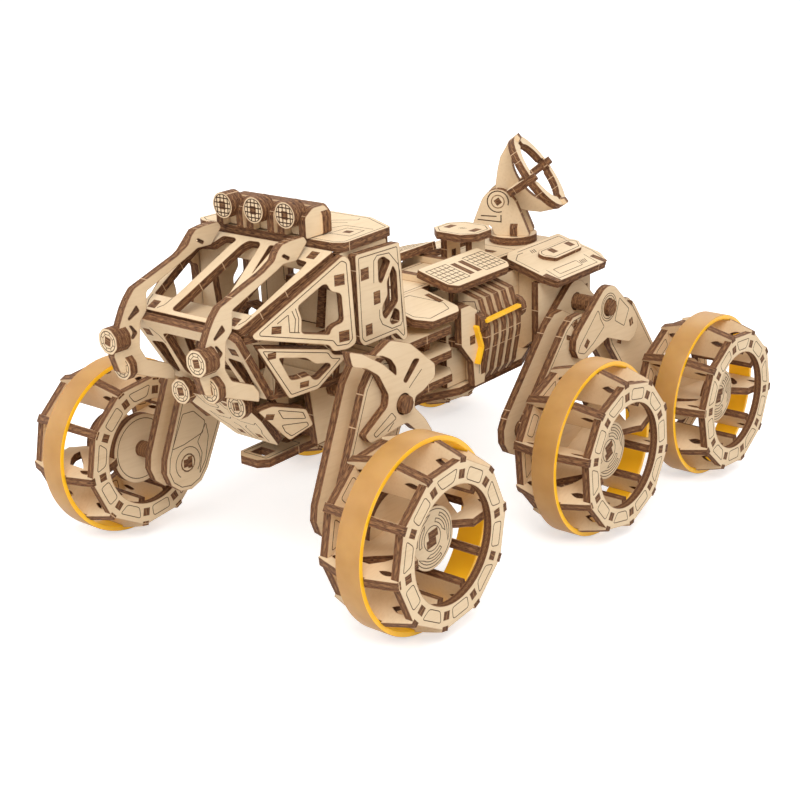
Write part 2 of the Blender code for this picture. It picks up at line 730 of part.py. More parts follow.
def chassis_mesh():
    """The frame that everything else hangs on, its plates slotted through each other."""
    board = both_sides([(floor_end_half_width, floor_front_y),
                        (floor_end_half_width, floor_wide_front_y - floor_taper),
                        (floor_half_width, floor_wide_front_y), (floor_half_width, floor_wide_rear_y),
                        (floor_end_half_width, floor_wide_rear_y + floor_taper),
                        (floor_end_half_width, floor_rear_y)])
    shapes = [sheet(board, frame=facing_up(0.0, 0.0, floor_z))]
    wing = (wing_panel_inner_x, wing_panel_inner_z, panel_slope)
    grid = (grid_panel_inner_x, grid_panel_inner_z, panel_slope)
    deck = (deck_inner_x, deck_inner_z, deck_slope)
    rail_top = min(under_slope(*wing, rail_x + ply / 2), under_slope(*deck, rail_x + ply / 2))
    rail = [(rail_front_y + ply, floor_z), (floor_rear_y, floor_z), (floor_rear_y, rail_top),
            (spine_front_y, rail_top), (spine_front_y, cab_floor_under_z - gap),
            (rail_front_y, cab_floor_under_z - gap)]
    for x in (-rail_x, rail_x):
        shapes.append(sheet(rail, frame=facing_side(x, 0.0, 0.0)))
    hole = round_points(spindle_radius + bore_clearance, 12, (0.0, antenna_y))
    width = max(spine_half_width, rail_x + ply / 2)
    strip = both_sides([(width, spine_front_y), (width, wing_panel_front_y - gap),
                        (spine_half_width, wing_panel_front_y - gap), (spine_half_width, spine_rear_y)])
    shapes.append(sheet(strip, [hole], frame=facing_up(0.0, 0.0, spine_z)))
    shelf_end = shelf_half_width - shelf_chamfer
    for level in shelf_levels_z:
        shelf = both_sides([(shelf_end, shelf_front_y), (shelf_half_width, shelf_front_y + shelf_chamfer),
                            (shelf_half_width, shelf_rear_y - shelf_chamfer), (shelf_end, shelf_rear_y)])
        shapes.append(sheet(shelf, frame=facing_up(0.0, 0.0, level)))
    foot = (bulkhead_foot_half_width, floor_z)
    top = spine_half_width - ply / 2
    reaches = [(front_bulkhead_y, [foot, (shelf_end, shelf_levels_z[0]), (top, spine_z)]),
               (wing_bulkhead_y, [foot, (shelf_end, shelf_levels_z[0]),
                                  (shelf_end, under_slope(*wing, shelf_end)),
                                  (wing_panel_inner_x, under_slope(*wing, wing_panel_inner_x)),
                                  (top, spine_z)])]
    for y in engine_bulkheads_y:
        reaches.append((y, [foot, (bulkhead_half_width, floor_z + spine_half_width),
                            (bulkhead_half_width, under_slope(*grid, bulkhead_half_width)),
                            (grid_panel_inner_x + ply, under_slope(*grid, grid_panel_inner_x + ply))]))
    wall_inside_x = rear_wall_x - ply / 2 - gap
    for y in rear_bulkheads_y:
        reaches.append((y, [foot, (wall_inside_x, rear_wall_base_z + ply),
                            (wall_inside_x, under_slope(*deck, wall_inside_x)),
                            (spine_half_width + gap, under_slope(*deck, spine_half_width + gap)),
                            (top, spine_z)]))
    hollow = both_sides([(bulkhead_hollow_half_width, floor_top_z + ply),
                         (bulkhead_hollow_half_width, spine_z - ply)])
    for y, half in reaches:
        shapes.append(sheet(both_sides(half), [hollow], frame=facing_front(0.0, y, 0.0)))
    for pivot in (front_pivot, bogie_pivot):
        shapes.append(sheet(round_points(pivot_radius, 10, into_body(pivot)),
                            thickness=2 * axle_bar_half_length, frame=facing_side(0.0, 0.0, 0.0)))
    return fused(shapes)


body_node("chassis_frame", chassis_mesh())


def tongue_mesh():
    """The tow tongue: a flat hitch plate with a slot, on a lug under the floor board."""
    half = tongue_half_width
    plate = both_sides([(half, tongue_rear_y), (half, tongue_front_y + ply), (half - ply, tongue_front_y)])
    slot = rectangle(half, tongue_slot_length, (0.0, tongue_slot_y))
    lug_front = tongue_slot_y + tongue_slot_length
    lug_rear = tongue_rear_y - ply
    lug = [(floor_front_y, tongue_z), (lug_rear, tongue_z), (lug_rear, floor_z - ply / 2 - gap),
           (floor_front_y, floor_z - ply / 2 - gap), (lug_front, tongue_z)]
    return fused([sheet(plate, [slot], frame=facing_up(0.0, 0.0, tongue_z)),
                  sheet(lug, frame=facing_side(0.0, 0.0, 0.0))])


body_node("tow_tongue", tongue_mesh())


# Cab

def cab_frame_mesh():
    """Inside the cab: floor, back wall, hoop, sill, nose bulkheads and two keels under the nose."""
    floor_half = [(cab_back_half_width, cab_back_y), (cab_back_half_width, hoop_y),
                  (inside_x(lower_frame, hoop_y, cab_floor_under_z), hoop_y - ply),
                  (inside_x(lower_frame, cab_floor_front_y, cab_floor_under_z), cab_floor_front_y)]
    floor_half[1] = (min(cab_back_half_width, floor_half[2][0]), hoop_y)
    shapes = [sheet(both_sides(floor_half), frame=facing_up(0.0, 0.0, cab_floor_z))]
    ceiling = roof_z - ply - gap
    back = both_sides([(cab_back_half_width, cab_floor_z), (cab_back_half_width, ceiling)])
    window = rectangle(cab_window_width, cab_window_height, (0.0, cab_window_z))
    shapes.append(sheet(back, [window], frame=facing_front(0.0, cab_back_y, 0.0)))
    hoop_top = min(ceiling, inside_z(screen_low, screen_high, hoop_y - ply / 2))
    hoop_out = inside_x(window_frame, hoop_y - ply / 2, hoop_top)
    hoop_foot = inside_x(lower_frame, hoop_y - ply / 2, cab_floor_z)
    knee_z = rear_panel_base_z + ply
    knee = inside_x(lower_frame, hoop_y - ply / 2, knee_z)
    hoop = both_sides([(hoop_foot, cab_floor_z), (knee, knee_z), (hoop_out, knee_z + ply),
                       (hoop_out, hoop_top - hoop_bar), (hoop_out - hoop_bar, hoop_top)])
    inner = both_sides([(hoop_foot - hoop_bar, cab_floor_z + hoop_bar), (knee - hoop_bar, knee_z + ply),
                        (hoop_out - hoop_bar, hoop_top - 2 * hoop_bar),
                        (hoop_out - 2 * hoop_bar, hoop_top - hoop_bar)])
    shapes.append(sheet(hoop, [inner], frame=facing_front(0.0, hoop_y, 0.0)))
    sill_under = sill_z - ply / 2
    sill_front = max(inside_y(grille_low, grille_high, sill_under),
                     inside_y(grille_low, grille_high, sill_z + ply / 2))
    sill = both_sides([(inside_x(window_frame, sill_rear_y, sill_z), sill_rear_y),
                       (min(grille_half_width, inside_x(window_frame, sill_front, sill_z)), sill_front)])
    shapes.append(sheet(sill, frame=facing_up(0.0, 0.0, sill_z)))
    wall_front = nose_bulkhead_y - ply / 2
    low_wall = inside_x(lower_frame, wall_front, cab_floor_z)
    high_wall = inside_x(lower_frame, wall_front, sill_under)
    bulkhead = both_sides([(low_wall, cab_floor_z),
                           (min(high_wall, inside_x(window_frame, wall_front, sill_z)), sill_z)])
    cutout = both_sides([(low_wall - hoop_bar, cab_floor_z + hoop_bar),
                         (high_wall - hoop_bar, sill_under - hoop_bar)])
    shapes.append(sheet(bulkhead, [cutout], frame=facing_front(0.0, nose_bulkhead_y, 0.0)))
    keel = [(inside_y(nose_low, nose_high, keel_foot_z), keel_foot_z), (keel_rear_y, keel_foot_z),
            (keel_rear_y, cab_floor_z), (inside_y(nose_low, nose_high, cab_floor_under_z), cab_floor_under_z)]
    for x in (-keel_x, keel_x):
        shapes.append(sheet(keel, frame=facing_side(x, 0.0, 0.0)))
    chin_front = chin_bulkhead_y - ply / 2
    chin_foot = inside_z(nose_low, nose_high, chin_front)
    chin_knee = nose_high[1] - hoop_bar
    chin_wall = both_sides([(min(inside_x(chin_frame, chin_front, chin_foot), nose_low_half_width), chin_foot),
                            (inside_x(chin_frame, chin_front, chin_knee), chin_knee),
                            (nose_high_half_width - hoop_bar, cab_floor_z)])
    shapes.append(sheet(chin_wall, frame=facing_front(0.0, chin_bulkhead_y, 0.0)))
    return fused(shapes)


body_node("cab_frame", cab_frame_mesh())

roof = both_sides([(cab_back_half_width + roof_front_overhang, roof_front_y),
                   (cab_back_half_width + roof_side_overhang, roof_side_y), (roof_rear_half_width, roof_rear_y)])
body_node("cab_roof", sheet(roof, frame=facing_up(0.0, 0.0, roof_z - ply / 2)))

screen_length = hypot(screen_high[0] - screen_low[0], screen_high[1] - screen_low[1])
screen = [(screen_high_half_width - screen_low_half_width, 0.0),
          (screen_high_half_width + screen_low_half_width, 0.0),
          (2 * screen_high_half_width, screen_length), (0.0, screen_length)]
screen_holes = [scaled(shares, 2 * screen_high_half_width, screen_length) for shares in screen_opening_shares]
screen_frame = leaning_front(screen_high_half_width, screen_low, screen_high)
body_node("windscreen_frame", sheet(screen, screen_holes, frame=set_in(screen_frame)))

grille_length = hypot(grille_high[0] - grille_low[0], grille_high[1] - grille_low[1])
grille = rectangle(2 * grille_half_width, grille_length, (grille_half_width, grille_length / 2))
grille_holes = [scaled(shares, 2 * grille_half_width, grille_length) for shares in grille_opening_shares]
body_node("nose_grille", sheet(grille, grille_holes,
                               frame=set_in(leaning_front(grille_half_width, grille_low, grille_high))))


def lamp(radius, x, y, z, depth):
    """A round lamp that faces forwards."""
    return sheet(round_points(radius, 8, start=pi / 8), thickness=depth, frame=facing_front(x, y, z))


def nose_panel_mesh():
    """The lower nose plate, wider at its top, with a lamp on each upper corner."""
    length = hypot(nose_high[0] - nose_low[0], nose_high[1] - nose_low[1])
    middle = nose_high_half_width
    outline = [(middle - nose_low_half_width, 0.0), (middle + nose_low_half_width, 0.0),
               (2 * middle, length - nose_low_half_width), (2 * middle, length), (0.0, length),
               (0.0, length - nose_low_half_width)]
    shapes = [sheet(outline, frame=set_in(leaning_front(middle, nose_low, nose_high)))]
    for side in (-1, 1):
        shapes.append(lamp(nose_lamp_radius, side * chin_lamp_x, nose_high[0], nose_high[1], ply))
    return fused(shapes)


body_node("nose_panel", nose_panel_mesh())


def roll_bar_mesh():
    """One cranked bar over the windscreen, with two lamps on its front end."""
    outline = scaled(roll_bar_shares, roll_bar_length, roll_bar_height)
    holes = [scaled(shares, roll_bar_length, roll_bar_height) for shares in roll_bar_hole_shares]
    shapes = [sheet(outline, holes, frame=facing_side(roll_bar_x, roll_bar_front_y, roll_bar_base_z))]
    for y, share in ((roll_bar_front_y + ply / 2, upper_lamp_share),
                     (roll_bar_front_y + 2 * ply, lower_lamp_share)):
        shapes.append(lamp(nose_lamp_radius, nose_lamp_x, y, roll_bar_base_z + share * roll_bar_height, ply))
    return fused(shapes)


body_pair("roll_bar", roll_bar_mesh())


def lamp_bar_mesh():
    """A laminated block on the roof with three lamps on its front."""
    foot = roof_z + gap
    half = lamp_bar_half_width
    chamfer = lamp_bar_height / 4
    outline = both_sides([(half, foot), (half, foot + lamp_bar_height - chamfer),
                          (half - chamfer, foot + lamp_bar_height)])
    bar_y = roof_lamp_y + ply + lamp_bar_depth / 2
    shapes = [sheet(outline, thickness=lamp_bar_depth, frame=facing_front(0.0, bar_y, 0.0))]
    for place in (-1, 0, 1):
        shapes.append(lamp(roof_lamp_radius, place * roof_lamp_spacing, roof_lamp_y + ply / 2,
                           roof_z + roof_lamp_rise, 3 * ply))
    return fused(shapes)


body_node("roof_lamp_bar", lamp_bar_mesh())

for name, frame, outline, openings, length, height in (
        ("side_window", window_frame, side_window_shares, [side_opening_shares], side_window_length,
         side_window_height),
        ("lower_side_panel", lower_frame, lower_panel_shares, [lower_opening_shares], lower_panel_length,
         lower_panel_height),
        ("chin_panel", chin_frame, chin_panel_shares, [], chin_panel_length, chin_panel_height),
        ("rear_side_panel", facing_side(cab_back_half_width + rear_panel_stand_off, rear_panel_front_y,
                                        rear_panel_base_z),
         rear_panel_shares, rear_opening_shares, rear_panel_length, rear_panel_height)):
    holes = [scaled(shares, length, height) for shares in openings]
    body_pair(name, sheet(scaled(outline, length, height), holes, frame=set_in(frame)))


def seat_mesh():
    """The driver's seat: two side plates under a cushion plate, and a back."""
    foot = cab_floor_top_z + gap
    side = [(-seat_depth / 2, foot), (seat_depth / 2, foot), (seat_depth / 2, foot + seat_back_height),
            (seat_depth / 2 - ply, foot + seat_back_height), (seat_depth / 2 - 2 * ply, foot + seat_height),
            (-seat_depth / 2, foot + seat_height)]
    shapes = [sheet(side, frame=facing_side(x, seat_y, 0.0)) for x in (-seat_side_x, seat_side_x)]
    shapes.append(sheet(rectangle(seat_width, seat_depth), frame=facing_up(0.0, seat_y, foot + seat_height)))
    back = rectangle(seat_width, seat_back_height - seat_height,
                     (0.0, foot + (seat_back_height + seat_height) / 2))
    shapes.append(sheet(back, frame=facing_front(0.0, seat_y + seat_depth / 2 - ply / 2, 0.0)))
    return fused(shapes)


body_node("seat", seat_mesh())


def steering_mesh():
    """The steering wheel on its column."""
    foot = cab_floor_top_z + gap
    column = rectangle(2 * ply, steering_column_height, (0.0, foot + steering_column_height / 2))
    rim = sheet(round_points(steering_wheel_radius, 12),
                [round_points(steering_wheel_radius - steering_wheel_rim, 12)],
                frame=facing_front(0.0, steering_y + ply, foot + steering_column_height))
    spoke = sheet(rectangle(2 * (steering_wheel_radius - steering_wheel_rim / 2), steering_wheel_rim),
                  frame=facing_front(0.0, steering_y + ply, foot + steering_column_height))
    return fused([sheet(column, frame=facing_front(0.0, steering_y + ply / 2, 0.0)), rim, spoke])


body_node("steering_wheel", steering_mesh())


# Middle body

def engine_mesh():
    """One bank of the engine: ribs on edge, a carrier, a cheek plate and two rollers on its rod."""
    foot = floor_top_z + gap
    reach = rib_outer_x - rib_inner_x
    crest = rib_inner_x + rib_crest_share * reach
    height = under_slope(grid_panel_inner_x, grid_panel_inner_z, panel_slope, crest) - foot
    rib = [(rib_inner_x + u * reach, foot + v * height) for u, v in rib_shares]
    shapes = [sheet(rib, frame=facing_front(0.0, rib_first_y + i * rib_pitch, 0.0)) for i in range(rib_count)]
    last_y = rib_first_y + (rib_count - 1) * rib_pitch
    carrier = [(cheek_plate_y, foot), (last_y, foot), (last_y, foot + height - ply),
               (cheek_plate_y, foot + height - 2 * ply)]
    shapes.append(sheet(carrier, frame=facing_side(rib_inner_x + ply / 2, 0.0, 0.0)))
    cheek = [(cheek_plate_y + u * cheek_plate_length, foot + v * (height - ply))
             for u, v in cheek_plate_shares]
    shapes.append(sheet(cheek, frame=facing_side(cheek_plate_x, 0.0, 0.0)))
    tie = rectangle(cheek_plate_x - rib_inner_x, ply, ((cheek_plate_x + rib_inner_x) / 2, foot + height / 2))
    shapes.append(sheet(tie, frame=facing_front(0.0, cheek_plate_y + ply, 0.0)))
    first_end, last_end = rib_first_y - ply, last_y + ply
    for y in (first_end, last_end):
        shapes.append(sheet(round_points(roller_radius, 12, (roller_x, roller_z)), thickness=ply,
                            frame=facing_front(0.0, y, 0.0)))
    rod = round_points(roller_radius / 2, 8, (roller_x, roller_z))
    shapes.append(sheet(rod, thickness=last_end - first_end,
                        frame=facing_front(0.0, (first_end + last_end) / 2, 0.0)))
    return fused(shapes)


body_pair("engine_ribs", engine_mesh())

width, length, corner = grid_panel_width, grid_panel_length, grid_panel_width / 6
grid_outline = [(0.0, 0.0), (width - corner, 0.0), (width, corner), (width, length - corner),
                (width - corner, length), (0.0, length)]
body_pair("grid_panel", sheet(grid_outline, frame=set_in(sloping_out(grid_panel_inner_x, grid_panel_front_y,
                                                                      grid_panel_inner_z, panel_slope))))
width, length, corner = wing_panel_width, wing_panel_length, wing_panel_width / 4
wing_outline = [(0.0, 0.0), (width - corner, 0.0), (width, corner), (width, length - ply),
                (width - ply, length), (0.0, length)]
body_pair("wing_panel", sheet(wing_outline, frame=set_in(sloping_out(wing_panel_inner_x, wing_panel_front_y,
                                                                      wing_panel_inner_z, panel_slope))))


def console_mesh():
    """A six-sided lid on four posts that stand on the top strip."""
    front, rear = console_front_y + console_chamfer, console_rear_y - console_chamfer
    lid = both_sides([(console_half_width - console_chamfer, console_front_y), (console_half_width, front),
                      (console_half_width, rear), (console_half_width - console_chamfer, console_rear_y)])
    shapes = [sheet(lid, frame=facing_up(0.0, 0.0, console_z))]
    foot = spine_top_z + gap
    post = [(front, foot), (front + ply, foot), (front + ply, foot + ply), (rear - ply, foot + ply),
            (rear - ply, foot), (rear, foot), (rear, console_z), (front, console_z)]
    for x in (-console_post_x, console_post_x):
        shapes.append(sheet(post, frame=facing_side(x, 0.0, 0.0)))
    return fused(shapes)


body_node("console_box", console_mesh())


# Rear body

def deck_mesh():
    """One slope of the rear deck, with its raised hatch."""
    width, length, corner = deck_width, deck_length, deck_width / 4
    outline = [(0.0, 0.0), (width - corner, 0.0), (width, corner), (width, length - 2 * corner),
               (width - corner, length), (0.0, length)]
    slope = sloping_out(deck_inner_x, deck_front_y, deck_inner_z, deck_slope)
    hatch = round_points(hatch_width / 2, 12)
    stretch = (hatch_length - hatch_width) / 2
    middle = (hatch_inset + hatch_width / 2, hatch_inset + hatch_length / 2)
    hatch = [(middle[0] + u, middle[1] + v + (stretch if v > 0 else -stretch)) for u, v in hatch]
    raised = slope @ Matrix.Translation((0.0, 0.0, ply / 2 - ply / 4))
    return fused([sheet(outline, frame=set_in(slope)), sheet(hatch, thickness=ply + ply / 2, frame=raised)])


body_pair("rear_deck", deck_mesh())

rear_wall_rear_y = rear_wall_front_y + rear_wall_length
wall = [(rear_wall_front_y, rear_wall_base_z),
        (rear_wall_front_y + rear_wall_length / 2, rear_wall_base_z - ply),
        (rear_wall_rear_y, rear_wall_base_z + 2 * ply), (rear_wall_rear_y, rear_wall_top_z),
        (rear_wall_front_y, rear_wall_top_z)]
body_pair("rear_wall", sheet(wall, [round_points(pivot_radius + bore_clearance, 12, into_body(bogie_pivot))],
                             frame=facing_side(rear_wall_x, 0.0, 0.0)))

tail_length = hypot(tail_high[0] - tail_low[0], tail_high[1] - tail_low[1])
tail = [(0.0, 0.0), (2 * tail_half_width, 0.0), (2 * tail_half_width - 2 * ply, tail_length),
        (2 * ply, tail_length)]
body_node("tail_panel", sheet(tail, frame=leaning_front(tail_half_width, tail_high, tail_low)))


# Antenna

antenna_frame = (Matrix.Translation((0.0, antenna_y, spine_top_z + gap + ply))
                 @ Matrix.Rotation(antenna_turn, 4, "Z"))


def facing_left(y):
    """u runs forward along the dish's heading, v runs up, and the sheet faces its left."""
    return Matrix(((1, 0, 0, 0), (0, 0, -1, y), (0, 1, 0, 0), (0, 0, 0, 1)))


def turntable_mesh():
    """A disc on a spindle, with the two cheeks that hold the dish."""
    shapes = [sheet(round_points(turntable_radius, 24), frame=facing_up(0.0, 0.0, -ply / 2)),
              sheet(round_points(spindle_radius, 10), thickness=spindle_length,
                    frame=facing_up(0.0, 0.0, -ply / 2 - spindle_length / 2))]
    pivot = (-dish_pivot_back, dish_pivot_height)
    arc = [(pivot[0] + cheek_head_radius * cos(turn), pivot[1] + cheek_head_radius * sin(turn))
           for turn in [-pi / 6 + i * (pi + pi / 6) / 7 for i in range(8)]]
    outline = [(cheek_base_front, -ply / 2), (cheek_base_front, ply)] + arc + [(-cheek_base_rear, -ply / 2)]
    bore = round_points(dish_pin_radius + bore_clearance, 10, pivot)
    for side in (-1, 1):
        shapes.append(sheet(outline, [bore], frame=facing_left(side * cheek_spacing / 2)))
    return fused(shapes)


def dish_mesh():
    """A ring on two crossing plates, the upright one with the neck that turns between the cheeks."""
    radius, far = dish_ring_radius, dish_ring_distance
    aim = Matrix.Rotation(-dish_tilt, 4, "Y")
    rim = [(s * radius, d * far) for s, d in dish_shares]
    bowl = [(dish_ring_hole_radius * share, -dish_bowl_depth * (1.0 - share * share))
            for share in bowl_shares]
    inner = bowl + [(0.0, -dish_bowl_depth)] + [(-s, d) for s, d in reversed(bowl)]
    prong = (radius + dish_ring_hole_radius) / 2 - ply / 4
    inner = [(prong, rim[0][1])] + inner + [(-prong, rim[0][1])]
    neck = [(dish_neck_radius * cos(turn), -far + dish_neck_radius * sin(turn))
            for turn in [-i * pi / 6 for i in range(7)]]
    upright = rim + neck + [(-s, d) for s, d in reversed(rim)] + list(reversed(inner))
    across_foot = -(far - cheek_head_radius - ply / 2)
    level = rim + [(ply, across_foot), (-ply, across_foot)] + [(-s, d) for s, d in reversed(rim)]
    level += reversed(inner)
    place = Matrix.Translation((-dish_pivot_back, 0.0, dish_pivot_height)) @ aim
    facing_aim = Matrix(((0, 0, 1, far), (1, 0, 0, 0), (0, 1, 0, 0), (0, 0, 0, 1)))
    in_upright = Matrix(((0, 1, 0, far), (0, 0, -1, 0), (1, 0, 0, 0), (0, 0, 0, 1)))
    in_level = Matrix(((0, 1, 0, far), (1, 0, 0, 0), (0, 0, -1, 0), (0, 0, 0, 1)))
    shapes = [sheet(round_points(radius, 24), [round_points(dish_ring_hole_radius, 24)],
                    frame=place @ facing_aim),
              sheet(upright, frame=place @ in_upright), sheet(level, frame=place @ in_level),
              sheet(round_points(dish_pin_radius, 8), thickness=cheek_spacing + ply,
                    frame=Matrix.Translation((-dish_pivot_back, 0.0, dish_pivot_height)) @ facing_left(0.0))]
    return fused(shapes)


for name, shape, pivot in (("antenna_turntable", turntable_mesh(), (0.0, 0.0, 0.0)),
                           ("antenna_dish", dish_mesh(), (-dish_pivot_back, 0.0, dish_pivot_height))):
    shape.transform(body_frame @ antenna_frame)
    add_node(name, shape, origin=body_frame @ antenna_frame @ Vector(pivot))


def centre_on_floor():
    """Moves every piece so that the origin is under the middle of the rover, on the floor."""
    bpy.context.view_layer.update()
    corners = [piece.matrix_world @ vertex.co for piece in nodes for vertex in piece.data.vertices]
    lows = [min(corner[axis] for corner in corners) for axis in range(3)]
    highs = [max(corner[axis] for corner in corners) for axis in range(3)]
    shift = Vector((-(lows[0] + highs[0]) / 2, -(lows[1] + highs[1]) / 2, -lows[2]))
    for piece in nodes:
        piece.location += shift


centre_on_floor()
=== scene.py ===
"""The looks of a laser-cut plywood rover: birch faces, burnt edges, engraved lines and amber rubber bands."""
import json
from math import cos, pi, radians, sin, sqrt, tau

import bmesh
import bpy
from mathutils import Matrix, Vector

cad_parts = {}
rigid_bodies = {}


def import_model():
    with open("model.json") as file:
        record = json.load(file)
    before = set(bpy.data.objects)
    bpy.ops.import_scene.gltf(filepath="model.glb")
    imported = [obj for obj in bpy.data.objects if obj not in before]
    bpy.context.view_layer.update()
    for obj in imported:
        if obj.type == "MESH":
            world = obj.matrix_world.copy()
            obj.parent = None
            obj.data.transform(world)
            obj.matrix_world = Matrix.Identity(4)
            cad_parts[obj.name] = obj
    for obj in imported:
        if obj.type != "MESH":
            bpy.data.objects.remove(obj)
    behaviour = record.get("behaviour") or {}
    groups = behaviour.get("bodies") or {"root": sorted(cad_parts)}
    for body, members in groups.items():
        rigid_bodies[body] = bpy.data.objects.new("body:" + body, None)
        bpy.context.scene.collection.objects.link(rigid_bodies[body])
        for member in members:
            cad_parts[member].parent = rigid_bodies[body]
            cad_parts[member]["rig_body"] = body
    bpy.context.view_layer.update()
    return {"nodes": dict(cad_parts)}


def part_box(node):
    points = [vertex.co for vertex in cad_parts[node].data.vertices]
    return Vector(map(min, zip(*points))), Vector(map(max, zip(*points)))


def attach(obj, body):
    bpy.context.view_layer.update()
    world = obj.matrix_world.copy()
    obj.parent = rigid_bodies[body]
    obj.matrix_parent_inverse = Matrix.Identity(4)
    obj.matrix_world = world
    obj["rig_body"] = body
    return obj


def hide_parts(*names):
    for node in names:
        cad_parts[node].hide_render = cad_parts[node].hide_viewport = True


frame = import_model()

MM = 0.001


# The studio: a pale floor that runs on into a white surround, one large soft lamp high on the camera's right, a
# weaker one on its left and a long strip from behind. The camera stands where the photographer stood.

camera_place = (352.9 * MM, -443.97 * MM, 223.8 * MM)
camera_heading = radians(39.11)
camera_drop = radians(17.87)
camera_roll = radians(-0.16)
camera_lens = 69.7
surround_light = 0.62
floor_size = 6.0
floor_tone = (0.80, 0.79, 0.78)
floor_lift = 0.55
lamp_positions = {"key": ((0.75, -0.85, 1.25), 0.9, 17.0), "fill": ((-1.1, -0.7, 0.7), 1.2, 6.0),
                  "back": ((-0.3, 1.2, 1.1), 1.0, 7.0)}

scene = bpy.context.scene
scene.view_settings.view_transform = "Standard"
camera = bpy.data.objects.new("camera", bpy.data.cameras.new("camera"))
camera.data.lens = camera_lens
camera.data.sensor_width = 36.0
camera.matrix_world = (Matrix.Translation(camera_place) @ Matrix.Rotation(camera_heading, 4, "Z")
                       @ Matrix.Rotation(pi / 2 - camera_drop, 4, "X") @ Matrix.Rotation(camera_roll, 4, "Z"))
scene.collection.objects.link(camera)
scene.camera = camera

for lamp_name, (lamp_place, lamp_size, lamp_power) in lamp_positions.items():
    lamp = bpy.data.objects.new(lamp_name + "_lamp", bpy.data.lights.new(lamp_name + "_lamp", "AREA"))
    lamp.data.size = lamp_size
    lamp.data.energy = lamp_power
    lamp.location = lamp_place
    lamp.rotation_euler = (-Vector(lamp_place)).to_track_quat("-Z", "Y").to_euler()
    scene.collection.objects.link(lamp)


def seen_directly(nodes, links):
    """One where a ray comes straight from the camera, or by way of gloss or glass."""
    path = nodes.new("ShaderNodeLightPath")
    either = nodes.new("ShaderNodeMath")
    either.operation = "MAXIMUM"
    links.new(path.outputs["Is Camera Ray"], either.inputs[0])
    links.new(path.outputs["Is Glossy Ray"], either.inputs[1])
    any_of = nodes.new("ShaderNodeMath")
    any_of.operation = "MAXIMUM"
    links.new(either.outputs[0], any_of.inputs[0])
    links.new(path.outputs["Is Transmission Ray"], any_of.inputs[1])
    return any_of.outputs[0]


surround = bpy.data.worlds.new("surround")
surround.use_nodes = True
scene.world = surround
tree = surround.node_tree
lit = tree.nodes["Background"]
lit.inputs["Color"].default_value = (1.0, 1.0, 1.0, 1.0)
lit.inputs["Strength"].default_value = surround_light
shown = tree.nodes.new("ShaderNodeBackground")
shown.inputs["Color"].default_value = (1.0, 1.0, 1.0, 1.0)
shown.inputs["Strength"].default_value = 1.0
chosen = tree.nodes.new("ShaderNodeMixShader")
tree.links.new(seen_directly(tree.nodes, tree.links), chosen.inputs["Fac"])
tree.links.new(lit.outputs[0], chosen.inputs[1])
tree.links.new(shown.outputs[0], chosen.inputs[2])
tree.links.new(chosen.outputs[0], tree.nodes["World Output"].inputs["Surface"])

work = bmesh.new()
bmesh.ops.create_grid(work, x_segments=1, y_segments=1, size=floor_size / 2)
floor_mesh = bpy.data.meshes.new("studio_floor")
work.to_mesh(floor_mesh)
work.free()
studio_floor = bpy.data.objects.new("studio_floor", floor_mesh)
scene.collection.objects.link(studio_floor)
paper = bpy.data.materials.new("floor_paper")
paper.use_nodes = True
tree = paper.node_tree
shader = tree.nodes["Principled BSDF"]
shader.inputs["Base Color"].default_value = (*floor_tone, 1.0)
shader.inputs["Roughness"].default_value = 0.9
shader.inputs["Specular IOR Level"].default_value = 0.1
shader.inputs["Emission Color"].default_value = (1.0, 1.0, 1.0, 1.0)
lift = tree.nodes.new("ShaderNodeMath")
lift.operation = "MULTIPLY"
lift.inputs[1].default_value = floor_lift
tree.links.new(seen_directly(tree.nodes, tree.links), lift.inputs[0])
tree.links.new(lift.outputs[0], shader.inputs["Emission Strength"])
floor_mesh.materials.append(paper)


# The sheet: three-millimetre birch plywood of three layers. Its faces are pale and almost plain, and a laser cut
# every outline, which left the edges burnt dark, the corners toasted and here and there a pale uncut bridge.

ply = 3.0 * MM
weld = 0.01 * MM
toast_width = 0.35 * MM
PALE, BURNT, ENGRAVED = 0, 1, 2
birch_pale = (0.80, 0.615, 0.40, 1.0)
birch_deep = (0.69, 0.50, 0.295, 1.0)
birch_toast = (0.36, 0.185, 0.085, 1.0)
burnt_dark = (0.055, 0.021, 0.010, 1.0)
burnt_mid = (0.195, 0.085, 0.037, 1.0)
burnt_light = (0.40, 0.205, 0.085, 1.0)
bridge_pale = (0.62, 0.41, 0.24, 1.0)
engraved_brown = (0.075, 0.036, 0.020, 1.0)


def new_group(name, inputs, outputs):
    """A shader node group with its sockets, and its input and output nodes."""
    group = bpy.data.node_groups.new(name, "ShaderNodeTree")
    for socket_name, kind, value in inputs:
        group.interface.new_socket(socket_name, in_out="INPUT", socket_type=kind).default_value = value
    for socket_name, kind in outputs:
        group.interface.new_socket(socket_name, in_out="OUTPUT", socket_type=kind)
    return group, group.nodes.new("NodeGroupInput"), group.nodes.new("NodeGroupOutput")


def maths(group, operation, first, second=0.0, third=0.0):
    """One Math node whose inputs are sockets or numbers."""
    node = group.nodes.new("ShaderNodeMath")
    node.operation = operation
    for place, value in enumerate((first, second, third)):
        if isinstance(value, bpy.types.NodeSocket):
            group.links.new(value, node.inputs[place])
        else:
            node.inputs[place].default_value = value
    return node.outputs[0]


def blended(group, factor, first, second):
    """A colour between two colour sockets."""
    node = group.nodes.new("ShaderNodeMix")
    node.data_type = "RGBA"
    group.links.new(factor, node.inputs["Factor"])
    group.links.new(first, node.inputs["A"])
    group.links.new(second, node.inputs["B"])
    return node.outputs["Result"]


